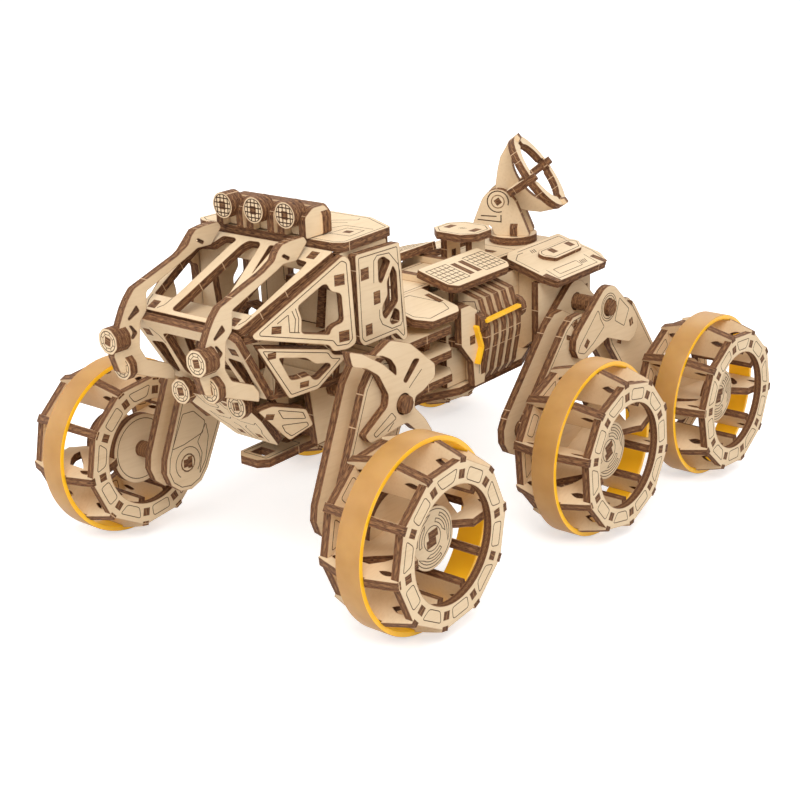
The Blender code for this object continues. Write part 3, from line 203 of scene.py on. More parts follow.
def ranged(group, value, low, high, out_low=0.0, out_high=1.0):
    """A value mapped from one range to another and kept inside it."""
    node = group.nodes.new("ShaderNodeMapRange")
    node.inputs["From Min"].default_value = low
    node.inputs["From Max"].default_value = high
    node.inputs["To Min"].default_value = out_low
    node.inputs["To Max"].default_value = out_high
    group.links.new(value, node.inputs["Value"])
    return node.outputs["Result"]


def noise(group, vector, scale, detail):
    """A noise texture's value."""
    node = group.nodes.new("ShaderNodeTexNoise")
    node.inputs["Scale"].default_value = scale
    node.inputs["Detail"].default_value = detail
    group.links.new(vector, node.inputs["Vector"])
    return node.outputs["Fac"]


colour, number = "NodeSocketColor", "NodeSocketFloat"
birch_grain, given, made = new_group(
    "birch_grain", [("Pale", colour, birch_pale), ("Deep", colour, birch_deep), ("Toast", colour, birch_toast)],
    [("Color", colour), ("Height", number)])
place = birch_grain.nodes.new("ShaderNodeTexCoord").outputs["Object"]
stretch = birch_grain.nodes.new("ShaderNodeMapping")
stretch.inputs["Rotation"].default_value = (0.0, 0.0, radians(38.0))
stretch.inputs["Scale"].default_value = (1300.0, 85.0, 1100.0)
birch_grain.links.new(place, stretch.inputs["Vector"])
fibres = noise(birch_grain, stretch.outputs[0], 1.0, 3.0)
blotches = noise(birch_grain, place, 48.0, 2.0)
streaks = maths(birch_grain, "MULTIPLY_ADD", ranged(birch_grain, fibres, 0.45, 0.75), 0.45,
                ranged(birch_grain, blotches, 0.42, 0.72, 0.0, 0.40))
wood = blended(birch_grain, streaks, given.outputs["Pale"], given.outputs["Deep"])
rim = birch_grain.nodes.new("ShaderNodeAttribute")
rim.attribute_name = "toast"
rim_share = maths(birch_grain, "MULTIPLY", maths(birch_grain, "POWER", rim.outputs["Fac"], 1.6),
                  ranged(birch_grain, blotches, 0.35, 0.65, 0.75, 1.0))
birch_grain.links.new(blended(birch_grain, rim_share, wood, given.outputs["Toast"]), made.inputs["Color"])
birch_grain.links.new(fibres, made.inputs["Height"])

burnt_cut, given, made = new_group(
    "burnt_cut", [("Dark", colour, burnt_dark), ("Mid", colour, burnt_mid), ("Light", colour, burnt_light),
                  ("Bridge", colour, bridge_pale)], [("Color", colour), ("Height", number)])
cut_map = burnt_cut.nodes.new("ShaderNodeUVMap")
cut_map.uv_map = "cut"
parts = burnt_cut.nodes.new("ShaderNodeSeparateXYZ")
burnt_cut.links.new(cut_map.outputs[0], parts.inputs[0])
along, across = parts.outputs["X"], parts.outputs["Y"]
joined = burnt_cut.nodes.new("ShaderNodeCombineXYZ")
burnt_cut.links.new(maths(burnt_cut, "MULTIPLY", along, 420.0), joined.inputs["X"])
burnt_cut.links.new(maths(burnt_cut, "MULTIPLY", across, 7.0), joined.inputs["Y"])
char = noise(burnt_cut, joined.outputs[0], 1.0, 3.0)
tone = blended(burnt_cut, ranged(burnt_cut, char, 0.32, 0.62), given.outputs["Dark"], given.outputs["Mid"])
layer = maths(burnt_cut, "ABSOLUTE", maths(burnt_cut, "SUBTRACT", across, 0.5))
middle_layer = ranged(burnt_cut, layer, 0.20, 0.14)
light_share = maths(burnt_cut, "MULTIPLY", ranged(burnt_cut, char, 0.40, 0.75, 0.05, 0.85), middle_layer)
outer_share = maths(burnt_cut, "MULTIPLY", ranged(burnt_cut, layer, 0.36, 0.50),
                    ranged(burnt_cut, char, 0.45, 0.7, 0.1, 0.8))
tone = blended(burnt_cut, maths(burnt_cut, "MAXIMUM", light_share, outer_share), tone, given.outputs["Light"])
period = 11.0 * MM
steps = maths(burnt_cut, "DIVIDE", along, period)
cell = burnt_cut.nodes.new("ShaderNodeTexWhiteNoise")
cell.noise_dimensions = "1D"
burnt_cut.links.new(maths(burnt_cut, "FLOOR", steps), cell.inputs["W"])
near = maths(burnt_cut, "ABSOLUTE", maths(burnt_cut, "SUBTRACT", maths(burnt_cut, "FRACT", steps), 0.5))
bridge = maths(burnt_cut, "MULTIPLY", maths(burnt_cut, "LESS_THAN", near, 0.016),
               maths(burnt_cut, "GREATER_THAN", cell.outputs["Value"], 0.62))
burnt_cut.links.new(blended(burnt_cut, bridge, tone, given.outputs["Bridge"]), made.inputs["Color"])
burnt_cut.links.new(char, made.inputs["Height"])


def wood_finish(name, group, values, roughness, bump_strength):
    """A material whose colour and bump come from one of the wood groups."""
    finish = bpy.data.materials.new(name)
    finish.use_nodes = True
    tree = finish.node_tree
    shader = tree.nodes["Principled BSDF"]
    shader.inputs["Roughness"].default_value = roughness
    shader.inputs["Specular IOR Level"].default_value = 0.25
    wood_node = tree.nodes.new("ShaderNodeGroup")
    wood_node.node_tree = group
    for socket_name, value in values.items():
        wood_node.inputs[socket_name].default_value = value
    bump = tree.nodes.new("ShaderNodeBump")
    bump.inputs["Strength"].default_value = bump_strength
    bump.inputs["Distance"].default_value = 0.1 * MM
    tree.links.new(wood_node.outputs["Height"], bump.inputs["Height"])
    tree.links.new(wood_node.outputs["Color"], shader.inputs["Base Color"])
    tree.links.new(bump.outputs["Normal"], shader.inputs["Normal"])
    return finish


birch_face = wood_finish("birch_face", birch_grain, {}, 0.58, 0.25)
burnt_edge = wood_finish("burnt_edge", burnt_cut, {}, 0.72, 0.5)
engraved_line = wood_finish("engraved_line", burnt_cut, {"Mid": engraved_brown, "Light": engraved_brown,
                                                         "Bridge": engraved_brown}, 0.8, 0.3)
plywood_finishes = (birch_face, burnt_edge, engraved_line)


def flat_regions(work):
    """The groups of touching faces that lie in one plane."""
    regions, seen = [], set()
    for face in work.faces:
        if face in seen:
            continue
        group, queue = [], [face]
        seen.add(face)
        while queue:
            here = queue.pop()
            group.append(here)
            for edge in here.edges:
                for other in edge.link_faces:
                    if other not in seen and other.normal.dot(face.normal) > 0.9998:
                        seen.add(other)
                        queue.append(other)
        regions.append(group)
    return regions


def border(group):
    """The edges round a group of faces."""
    inside = set(group)
    return [edge for face in group for edge in face.edges if any(other not in inside for other in edge.link_faces)]


def lay_layers(work, group, along, thickness=ply):
    """Gives a cut edge its map: metres along the cut, and shares of the sheet across it."""
    cut_layer = work.loops.layers.uv.get("cut") or work.loops.layers.uv.new("cut")
    across = group[0].normal.cross(along)
    low = min(vert.co.dot(across) for face in group for vert in face.verts)
    for face in group:
        for loop in face.loops:
            loop[cut_layer].uv = (loop.vert.co.dot(along), (loop.vert.co.dot(across) - low) / thickness)


def toast_corners(work):
    """A narrow rim round every pale face, browned where it meets a cut."""
    for group in flat_regions(work):
        if group[0].material_index != PALE:
            continue
        rims = bmesh.ops.inset_region(work, faces=group, thickness=toast_width, use_boundary=True,
                                      use_even_offset=True)["faces"]
        inside = {vert for face in group for vert in face.verts}
        for face in rims:
            face.material_index = PALE
            for edge in face.edges:
                inner = [vert for vert in edge.verts if vert in inside]
                if len(inner) == 1 and edge.calc_length() > 2.0 * toast_width:
                    outer = edge.other_vert(inner[0])
                    inner[0].co = outer.co + (inner[0].co - outer.co).normalized() * 1.4 * toast_width
    toast_layer = work.verts.layers.float.get("toast") or work.verts.layers.float.new("toast")
    for vert in work.verts:
        if any(face.material_index != PALE for face in vert.link_faces):
            vert[toast_layer] = 1.0


def ordered_loop(edges):
    """The longest closed chain of these edges, as points in order."""
    left, best = set(edges), []
    while left:
        edge = left.pop()
        chain = [edge.verts[0], edge.verts[1]]
        while True:
            step = next((e for e in chain[-1].link_edges if e in left), None)
            if step is None:
                break
            left.remove(step)
            chain.append(step.other_vert(chain[-1]))
        length = sum((chain[i].co - chain[i - 1].co).length for i in range(1, len(chain)))
        if not best or length > best[0]:
            best = (length, [vert.co.copy() for vert in chain[:-1]])
    return best[1]


def sheets_of(node):
    """A copy of a CAD node, merged and flattened, with its broad faces pale, its cuts burnt and its corners toasted.
    It comes with each broad face's direction and outline, for the engraving."""
    work = bmesh.new()
    work.from_mesh(frame["nodes"][node].data)
    bmesh.ops.remove_doubles(work, verts=work.verts, dist=weld)
    bmesh.ops.dissolve_limit(work, angle_limit=radians(0.4), verts=work.verts, edges=work.edges)
    work.normal_update()
    cuts, broad = [], []
    for group in flat_regions(work):
        edges = border(group)
        area = sum(face.calc_area() for face in group)
        is_cut = 2.0 * area / max(sum(edge.calc_length() for edge in edges), weld) < 1.02 * ply
        for face in group:
            face.material_index = BURNT if is_cut else PALE
        if is_cut:
            cuts.append((group, edges))
        else:
            broad.append((area, group[0].normal.copy(), ordered_loop(edges)))
    for group, edges in cuts:
        beside_pale = [e for e in edges if any(face.material_index == PALE for face in e.link_faces)]
        longest = max(beside_pale or edges, key=lambda e: e.calc_length())
        lay_layers(work, group, (longest.verts[1].co - longest.verts[0].co).normalized())
    toast_corners(work)
    return work, sorted(broad, key=lambda entry: -entry[0])


def as_piece(work, name, body, finishes=plywood_finishes, stands_for=()):
    """Hands a finished bmesh over as a piece that rides on a body."""
    mesh = bpy.data.meshes.new(name)
    work.to_mesh(mesh)
    work.free()
    for finish in finishes:
        mesh.materials.append(finish)
    piece = bpy.data.objects.new(name, mesh)
    scene.collection.objects.link(piece)
    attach(piece, body)
    if stands_for:
        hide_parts(*stands_for)
    return piece


score_width = 0.28 * MM
score_proud = 0.02 * MM
score_depth = 0.15 * MM


def mitred(points, closed, offset):
    """The points moved sideways by the offset, with their corners mitred."""
    moved = []
    count = len(points)
    for i, point in enumerate(points):
        before = points[i - 1] if closed or i > 0 else None
        after = points[(i + 1) % count] if closed or i < count - 1 else None
        ways = [(b - a).normalized() for a, b in ((before, point), (point, after)) if a is not None and b is not None]
        side = sum((Vector((-way.y, way.x)) for way in ways), Vector((0.0, 0.0)))
        side.normalize()
        stretch_by = max(0.35, side.dot(Vector((-ways[0].y, ways[0].x))))
        moved.append(point + side * (offset / stretch_by))
    return moved


def sink(work, faces, downwards):
    """Turns a flat patch into a thin slab that goes down from it, as a closed body."""
    raised = bmesh.ops.extrude_face_region(work, geom=faces)
    bmesh.ops.translate(work, vec=downwards, verts=[g for g in raised["geom"] if isinstance(g, bmesh.types.BMVert)])
    body = set(faces) | {g for g in raised["geom"] if isinstance(g, bmesh.types.BMFace)}
    body |= {face for start in list(body) for edge in start.edges for face in edge.link_faces}
    bmesh.ops.recalc_face_normals(work, faces=list(body))
    return list(body)


def score(work, points, place, closed=True, width=score_width, proud=score_proud):
    """An engraved line along the points of a sheet's face."""
    points = [Vector(point) for point in points]
    rails = []
    for offset in (-width / 2, width / 2):
        verts = [work.verts.new(place @ Vector((*point, proud))) for point in mitred(points, closed, offset)]
        rails += [work.edges.new(pair) for pair in zip(verts, verts[1:] + (verts[:1] if closed else []))]
    strip = bmesh.ops.bridge_loops(work, edges=rails)["faces"]
    normal = (place.to_3x3() @ Vector((0.0, 0.0, 1.0))).normalized()
    for face in sink(work, strip, -normal * score_depth):
        face.material_index = ENGRAVED


def inlay(work, points, place, finish=BURNT, proud=score_proud, turn=0.0):
    """A flat patch in a sheet's face, such as a tab's end or a burnt area, with the layers across it."""
    patch = work.faces.new([work.verts.new(place @ Vector((u, v, proud))) for u, v in points])
    normal = (place.to_3x3() @ Vector((0.0, 0.0, 1.0))).normalized()
    along = (place.to_3x3() @ Vector((cos(turn), sin(turn), 0.0))).normalized()
    for face in sink(work, [patch], -normal * score_depth):
        face.material_index = finish
        if abs(face.normal.dot(normal)) > 0.5:
            lay_layers(work, [face], along)


def contour(work, broad, direction, inset, biggest=0):
    """An engraved line that follows the outline of the broad face that looks this way."""
    facing = [entry for entry in broad if entry[1].dot(direction) > 0.7]
    area, normal, outline = facing[biggest]
    across = normal.orthogonal().normalized()
    upwards = normal.cross(across)
    place = Matrix((across, upwards, normal)).transposed().to_4x4()
    place.translation = outline[0]
    flat = [place.inverted() @ point for point in outline]
    flat = [Vector((point.x, point.y)) for point in flat]
    twice_area = sum(flat[i - 1].x * flat[i].y - flat[i].x * flat[i - 1].y for i in range(len(flat)))
    score(work, mitred(flat, True, inset if twice_area > 0 else -inset), place)


# Where a sheet stands: the running gear is level, and the body leans three degrees nose-down on its suspension.

nose_down = radians(3.0)
lean_height = 70.0 * MM
front_axle_y = -94.3 * MM
band_low, band_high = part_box("tyre_front_left")
level_frame = Matrix.Translation((0.0, (band_low.y + band_high.y) / 2 - front_axle_y, 0.0))
body_frame = (level_frame @ Matrix.Translation((0.0, 0.0, lean_height)) @ Matrix.Rotation(nose_down, 4, "X")
              @ Matrix.Translation((0.0, 0.0, -lean_height)))
mirror_x = Matrix.Scale(-1.0, 4, (1.0, 0.0, 0.0))


def facing_side(x, y, z):
    """u runs back along Y, v runs up, and the sheet faces +X."""
    return Matrix(((0, 0, 1, x), (1, 0, 0, y), (0, 1, 0, z), (0, 0, 0, 1)))


def facing_front(x, y, z):
    """u runs along X, v runs up, and the sheet faces -Y."""
    return Matrix(((1, 0, 0, x), (0, 0, -1, y), (0, 1, 0, z), (0, 0, 0, 1)))


def leaning_front(low, high):
    """u runs along X from the middle, and v from the low (y, z) point to the high one."""
    rise = Vector((0.0, high[0] - low[0], high[1] - low[1])).normalized()
    across = Vector((1.0, 0.0, 0.0))
    place = Matrix((across, rise, across.cross(rise))).transposed().to_4x4()
    return Matrix.Translation((0.0, low[0], low[1])) @ place


def slanted_side(tip, toe, lean):
    """A side panel that starts at its tip, widens to the rear by toe and leans out by lean."""
    return (Matrix.Translation(tip) @ Matrix.Rotation(-toe, 4, "Z") @ Matrix.Rotation(lean, 4, "Y")
            @ facing_side(0.0, 0.0, 0.0))


def sloping_out(inner_x, front_y, inner_z, slope):
    """u runs out and down the slope, v runs back along Y, and the sheet faces up."""
    return Matrix.Translation((inner_x, front_y, inner_z)) @ Matrix.Rotation(slope, 4, "Y")


def ring_points(radius, count, start=0.0, centre=(0.0, 0.0)):
    """A regular outline."""
    return [(centre[0] + radius * cos(start + tau * i / count), centre[1] + radius * sin(start + tau * i / count))
            for i in range(count)]


def rounded(points, radius, steps=3):
    """A closed outline with its corners rounded."""
    points = [Vector(point) for point in points]
    smooth = []
    for i, corner in enumerate(points):
        before, after = points[i - 1], points[(i + 1) % len(points)]
        reach = min(radius, (before - corner).length / 2.2, (after - corner).length / 2.2)
        start, end = corner + (before - corner).normalized() * reach, corner + (after - corner).normalized() * reach
        for step in range(steps + 1):
            t = step / steps
            smooth.append(start * (1 - t) ** 2 + corner * 2 * t * (1 - t) + end * t ** 2)
    return smooth


def cut_sheet(work, outline, holes=(), place=Matrix.Identity(4), thickness=ply):
    """A sheet of plywood about its own plane, its faces pale and its cuts burnt."""
    rim = []
    for points in (outline, *holes):
        verts = [work.verts.new(place @ Vector((u, v, thickness / 2))) for u, v in points]
        rim += [work.edges.new(pair) for pair in zip(verts, verts[1:] + verts[:1])]
    filled = bmesh.ops.triangle_fill(work, use_beauty=True, use_dissolve=False, edges=rim)["geom"]
    top = [g for g in filled if isinstance(g, bmesh.types.BMFace)]
    normal = (place.to_3x3() @ Vector((0.0, 0.0, 1.0))).normalized()
    body = sink(work, top, -normal * thickness)
    for face in body:
        face.material_index = PALE
        if abs(face.normal.dot(normal)) < 0.5:
            face.material_index = BURNT
            lay_layers(work, [face], face.normal.cross(normal).normalized())
    return body


def metres(points):
    """Points given in millimetres."""
    return [(u * MM, v * MM) for u, v in points]


def slab(work, place, outline, holes=(), thickness=ply, corner=1.0 * MM):
    """A sheet whose outer face lies in the place's plane; outline and holes in millimetres, corners rounded."""
    inward = place @ Matrix.Translation((0.0, 0.0, -thickness / 2))
    return cut_sheet(work, rounded(metres(outline), corner), [rounded(metres(hole), corner) for hole in holes],
                     inward,
                     thickness)


def engrave(work, place, *lines, closed=True, corner=0.6 * MM, width=score_width):
    """Engraved lines in millimetres on a sheet's face."""
    for points in lines:
        line = rounded(metres(points), corner) if closed else [Vector(point) for point in metres(points)]
        score(work, line, place, closed, width)


def slots(work, place, *rectangles):
    """Tab ends that fill their slots: centre, width, height and turn, in millimetres and degrees."""
    for u, v, width, height, turn in rectangles:
        way = Matrix.Rotation(radians(turn), 2)
        corners = [Vector((u, v)) + way @ Vector((du * width / 2, dv * height / 2))
                   for du, dv in ((-1, -1), (1, -1), (1, 1), (-1, 1))]
        inlay(work, metres(corners), place, turn=radians(turn))


def on_both_sides(lines):
    """The same lines and their mirror images about u = 0."""
    return list(lines) + [[(-u, v) for u, v in points] for points in lines]


def pair(work, name, node, finishes=plywood_finishes, slot="birch_plywood"):
    """The left piece as made, and its mirror image on the right."""
    right = work.copy()
    bmesh.ops.transform(right, matrix=mirror_x, verts=right.verts)
    bmesh.ops.reverse_faces(right, faces=right.faces)
    for side, half in (("left", work), ("right", right)):
        cad_node = f"{node}_{side}"
        as_piece(half, f"{name}_{side}", frame["nodes"][cad_node]["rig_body"], finishes, (cad_node,))


def lamp_face(work, place, radius, ring, grid):
    """A lamp's engraved lens: a round line, then radial ticks or a grid, and a dark square middle."""
    score(work, ring_points(ring, 28), place)
    if grid:
        for share in (-0.66, -0.22, 0.22, 0.66):
            reach = 0.97 * ring * sqrt(1.0 - share ** 2)
            for turned in (False, True):
                ends = [(share * ring, -reach), (share * ring, reach)]
                score(work, [(v, u) for u, v in ends] if turned else ends, place, False, 0.4 * MM)
    else:
        for i in range(8):
            turn = tau * (i + 0.5) / 8
            ends = [(0.72 * ring * cos(turn), 0.72 * ring * sin(turn)),
                    (0.98 * ring * cos(turn), 0.98 * ring * sin(turn))]
            score(work, ends, place, False, 0.22 * MM)
        score(work, rounded(ring_points(0.72 * ring, 8, pi / 8), 0.3 * MM), place, width=0.2 * MM)
    slots(work, place, (0.0, 0.0, 0.62 * radius / MM, 0.62 * radius / MM, 0.0 if grid else 12.0))


# The chassis: a floor board, two rails, a top strip, shelves and hollow bulkheads, slotted through each other and
# dry fitted. The top strip carries an engraved line on each side of the turntable.

work, broad = sheets_of("chassis_frame")
strip_top = body_frame @ Matrix.Translation((0.0, 0.0, 90.0 * MM))
engrave(work, strip_top, [(-9.6, -53), (9.6, -53), (9.6, 46), (-9.6, 46)])
slots(work, strip_top, (0, -45, 9, 3, 0), (0, -22, 9, 3, 0), (0, 10, 9, 3, 0), (0, 39, 9, 3, 0))
board = body_frame @ Matrix.Translation((0.0, 0.0, 50.5 * MM)) @ Matrix.Rotation(pi, 4, "Y")
engrave(work, board, [(-17.5, -70), (17.5, -70), (17.5, -28), (23, -13), (23, 25), (17.5, 40), (17.5, 63),
                      (-17.5, 63),
                      (-17.5, 40), (-23, 25), (-23, -13), (-17.5, -28)])
as_piece(work, "chassis_sheets", "root", stands_for=("chassis_frame",))


# The tow tongue: a flat plate with a slot for a hook, standing out under the nose on a lug.

work, broad = sheets_of("tow_tongue")
tongue_top = body_frame @ Matrix.Translation((0.0, 0.0, 48.5 * MM))
engrave(work, tongue_top, [(-5.4, -96.0), (5.4, -96.0), (5.4, -79), (-5.4, -79)])
as_piece(work, "tow_tongue_sheets", "root", stands_for=("tow_tongue",))


# The cab's inside: floor, back wall, hoop, sill, nose bulkheads and two keels, slotted together.

work, broad = sheets_of("cab_frame")
back_face = body_frame @ facing_front(0.0, -58.5 * MM, 0.0)
engrave(work, back_face, [(-26, 81), (26, 81), (26, 117), (-26, 117)], [(-17, 99), (17, 99), (17, 116), (-17, 116)])
as_piece(work, "cab_frame_sheets", "root", stands_for=("cab_frame",))


# The seat and the steering wheel: small slotted sheets on the cab's floor.

work, broad = sheets_of("seat")
seat_front = body_frame @ facing_front(0.0, -65.0 * MM, 0.0)
engrave(work, seat_front, [(-7.5, 88), (7.5, 88), (7.5, 101), (-7.5, 101)])
as_piece(work, "seat_sheets", "root", stands_for=("seat",))

work, broad = sheets_of("steering_wheel")
as_piece(work, "steering_wheel_sheets", "root", stands_for=("steering_wheel",))


# The roof: one sheet with an engraved rim line, and beside the lamps a diamond round a tab's end on each side.

roof_top = body_frame @ Matrix.Translation((0.0, 0.0, 124.4 * MM))
work = bmesh.new()
slab(work, roof_top, [(-29.5, -84), (29.5, -84), (33.4, -81.5), (32.2, -57.6), (18.4, -50.7), (-18.4, -50.7),
                      (-32.2, -57.6), (-33.4, -81.5)])
for side in (-1, 1):
    slab(work, body_frame @ facing_side(side * 30.6 * MM + 1.5 * MM, 0.0, 0.0),
         [(-82.0, 118.0), (-76.0, 116.0), (-60.0, 116.0), (-60.0, 121.1), (-84.0, 121.1)])
toast_corners(work)
engrave(work, roof_top, [(-28.8, -82.6), (28.8, -82.6), (32.0, -80.6), (30.8, -58.4), (18.0, -52.1), (-18.0, -52.1),
                         (-30.8, -58.4), (-32.0, -80.6)])
engrave(work, roof_top, *on_both_sides([[(20.6, -75.0), (21.0, -66.6), (28.2, -66.2), (29.0, -74.4)]]),
        corner=0.3 * MM)
engrave(work, roof_top, *on_both_sides([[(14.0, -76), (18.0, -64.2), (29.6, -63.4)],
                                        [(16.2, -60.8), (12.2, -62.6), (8.2, -73)],
                                        [(6.0, -73), (9.6, -60.6), (16.8, -56.2), (16.0, -54.2)]]), closed=False)
slots(work, roof_top, (24.7, -70.3, 2.9, 2.9, 10), (-24.7, -70.3, 2.9, 2.9, -10), (0, -58.6, 6, 3, 0))
as_piece(work, "cab_roof_sheet", "root", stands_for=("cab_roof",))


# The roof lamps: three round lenses of two plies each on a laminated block, their feet's tabs dark in front.

lamp_rise, lamp_spacing, lamp_front_y = 132.4 * MM, 14.1 * MM, -88.8 * MM
work = bmesh.new()
bar_front = body_frame @ facing_front(0.0, -78.3 * MM, 0.0)
slab(work, bar_front, [(-21.0, 124.7), (21.0, 124.7), (21.0, 131.6), (18.6, 134.0), (-18.6, 134.0), (-21.0, 131.6)],
     thickness=4.2 * MM)
side_outline = [(-85.9, 124.7), (-73.9, 124.7), (-73.8, 131.4), (-76.6, 134.2), (-82.0, 134.2), (-85.9, 131.8)]
for step in (-1, 0, 1):
    lens = body_frame @ facing_front(step * lamp_spacing, lamp_front_y, lamp_rise)
    for layer in range(2):
        cut_sheet(work, ring_points(4.4 * MM, 28),
                  place=lens @ Matrix.Translation((0.0, 0.0, -(layer + 0.5) * ply + 0.02 * MM * layer)),
                  thickness=ply - 0.05 * MM)
    slab(work, body_frame @ facing_front(step * lamp_spacing, -82.7 * MM, 0.0),
         [(-3.1, 124.7), (3.1, 124.7), (3.1, 133.4), (-3.1, 133.4)],
         thickness=4.4 * MM)
    for x in (step * 14.1 - 3.2, step * 14.1 + 6.2):
        slab(work, body_frame @ facing_side(x * MM, 0.0, 0.0), side_outline)
toast_corners(work)
for step in (-1, 0, 1):
    lamp_face(work, body_frame @ facing_front(step * lamp_spacing, lamp_front_y, lamp_rise), 4.4 * MM, 3.75 * MM,
              True)
as_piece(work, "roof_lamp_sheets", "root", stands_for=("roof_lamp_bar",))


# The windscreen frame: one sheet with five slanting openings, its tabs' ends at the lower and upper corners.

screen = body_frame @ leaning_front((-121.2 * MM, 103.9 * MM), (-85.0 * MM, 122.0 * MM))
work = bmesh.new()
side_opening = [(22.2, 7.2), (13.1, 7.1), (10.8, 34.8), (10.0, 37.6), (11.6, 38.7), (17.0, 38.6), (18.4, 34.5),
                (25.0, 33.7),
                (25.0, 31.0)]
slab(work, screen, [(-22.5, 0), (22.5, 0), (31.0, 40.4), (-31.0, 40.4)],
     on_both_sides([side_opening]) + [[(-9.6, 2.9), (-8.2, 1.9), (8.2, 2.1), (9.2, 3.4), (5.4, 20.2), (1.2, 37.4),
                                       (-0.2, 38.7), (-4.9, 38.5), (-6.3, 36.0)],
                                      [(4.9, 38.2), (7.0, 38.4), (7.6, 36.8), (8.4, 24.0)]])
toast_corners(work)
engrave(work, screen, *on_both_sides([[(15.8, 1.6), (14.0, 3.4), (13.3, 6.9)],
                                      [(20.8, 2.0), (22.1, 4.2), (22.5, 6.9)]]),
        closed=False)
slots(work, screen, (18.3, 2.9, 3.5, 3.6, 0), (-18.3, 2.9, 3.5, 3.6, 0), (24.8, 37.2, 3.5, 3.5, 0),
      (-24.8, 37.2, 3.5, 3.5, 0))
as_piece(work, "windscreen_sheet", "root", stands_for=("windscreen_frame",))


# The nose grille: one sheet under the windscreen, with a wide middle opening and one at each side.

grille = body_frame @ leaning_front((-109.9 * MM, 77.3 * MM), (-124.6 * MM, 101.8 * MM))
work = bmesh.new()
slab(work, grille, [(-21.8, 0), (21.8, 0), (23.4, 26.8), (21.6, 28.5), (-21.6, 28.5), (-23.4, 26.8)],
     [[(-12.2, 22.6), (-9.8, 23.6), (9.8, 23.6), (12.2, 22.6), (13.2, 4.8), (11.5, 3.2), (-11.5, 3.2), (-13.2, 4.8)]]
     + on_both_sides([[(21.0, 17.5), (15.2, 18.2), (14.6, 17.0), (16.0, 4.2), (17.4, 2.9), (19.8, 6.6)]]))
toast_corners(work)
engrave(work, grille, *on_both_sides([[(17.2, 24.6), (14.6, 21.4), (13.6, 18.0)]]), closed=False)
slots(work, grille, (19.6, 22.0, 3.2, 3.2, 0), (-19.6, 22.0, 3.2, 3.2, 0))
as_piece(work, "nose_grille_sheet", "root", stands_for=("nose_grille",))


# The lower nose panel: one sheet with two columns of tab ends and engraved panel lines, and a lamp on each upper
# corner.

nose = body_frame @ leaning_front((-94.3 * MM, 53.7 * MM), (-114.0 * MM, 74.9 * MM))
work = bmesh.new()
slab(work, nose, [(-10, 0), (10, 0), (15.6, 18.9), (15.6, 28.9), (-15.6, 28.9), (-15.6, 18.9)])
for side in (-1, 1):
    chin_lamp = body_frame @ facing_front(side * 12.9 * MM, -115.5 * MM, 74.9 * MM)
    cut_sheet(work, rounded(ring_points(4.6 * MM, 8, pi / 8), 0.8 * MM),
              place=chin_lamp @ Matrix.Translation((0.0, 0.0, -ply / 2)))
toast_corners(work)
slots(work, nose, *[(side * 4.2, v, 2.4, 2.7, 0) for side in (-1, 1) for v in (26.2, 18.0, 4.4)])
engrave(work, nose, *on_both_sides([[(1.6, 28), (1.6, 22.4), (3.0, 21.0), (6.4, 21.0), (7.8, 22.4), (7.8, 28)],
                                    [(1.2, 15.4), (2.6, 13.8), (8.4, 13.8), (10.6, 16), (9.6, 10.6), (7.6, 7.4),
                                     (6.6, 1.4)],
                                    [(1.4, 1.4), (1.4, 9.4), (3.0, 11.2)]]), closed=False)
for side in (-1, 1):
    lamp_face(work, body_frame @ facing_front(side * 12.9 * MM, -115.5 * MM, 74.9 * MM), 4.6 * MM, 3.4 * MM, False)
as_piece(work, "nose_panel_sheet", "root", stands_for=("nose_panel",))


# The roll bars: a cranked sheet on each side over the windscreen, whose foot turns back under the lamps to the
# grille, with two lamps glued on its front end.

bar = body_frame @ facing_side(21.0 * MM, 0.0, 0.0)
work = bmesh.new()
slab(work, bar, [(-134.0, 102.2), (-131.6, 106.6), (-129.5, 109.5), (-126.7, 112.3), (-107.0, 118.6),
                 (-101.8, 121.2), (-100.0, 124.0),
                 (-97.9, 125.6), (-93.8, 126.1), (-87.7, 126.1), (-86.3, 124.1), (-91.5, 119.1), (-98.0, 119.3),
                 (-101.1, 117.9),
                 (-121.7, 110.3), (-122.5, 103.8), (-125.5, 101.0), (-126.5, 94.0), (-126.7, 92.4), (-124.2, 87.8),
                 (-114.8, 83.7),
                 (-112.6, 80.6), (-112.9, 77.4), (-125.8, 82.5), (-130.2, 84.4), (-135.8, 86.5), (-137.7, 92.5)],
     [[(-126.5, 106.9), (-125.3, 104.5), (-130.1, 102.5), (-130.6, 103.3)],
      [(-130.4, 100.9), (-129.3, 100.7), (-127.0, 97.7), (-129.0, 96.0), (-130.1, 96.5), (-129.0, 98.4)],
      [(-98.6, 122.0), (-97.4, 122.6), (-94.6, 120.9), (-95.4, 120.0)]], corner=0.7 * MM)
lamps = [(-139.4, 97.2), (-134.9, 87.2)]
for y, z in lamps:
    for layer in range(2 if y < -139 else 1):
        cut_sheet(work, rounded(ring_points(4.6 * MM, 8, pi / 8), 0.8 * MM),
                  place=body_frame @ facing_front(20.2 * MM, (y + 1.6) * MM,
                                                  z * MM) @ Matrix.Translation((0.0, 0.0, -(layer + 0.5) * ply)))
toast_corners(work)
for y, z in lamps:
    lamp_face(work, body_frame @ facing_front(20.2 * MM, (y + 1.6) * MM, z * MM), 4.6 * MM, 3.4 * MM, False)
pair(work, "roll_bar_sheet", "roll_bar")


# The cab's side panels: pale sheets with an engraved line inside each rim and the laminated ends of their tabs.

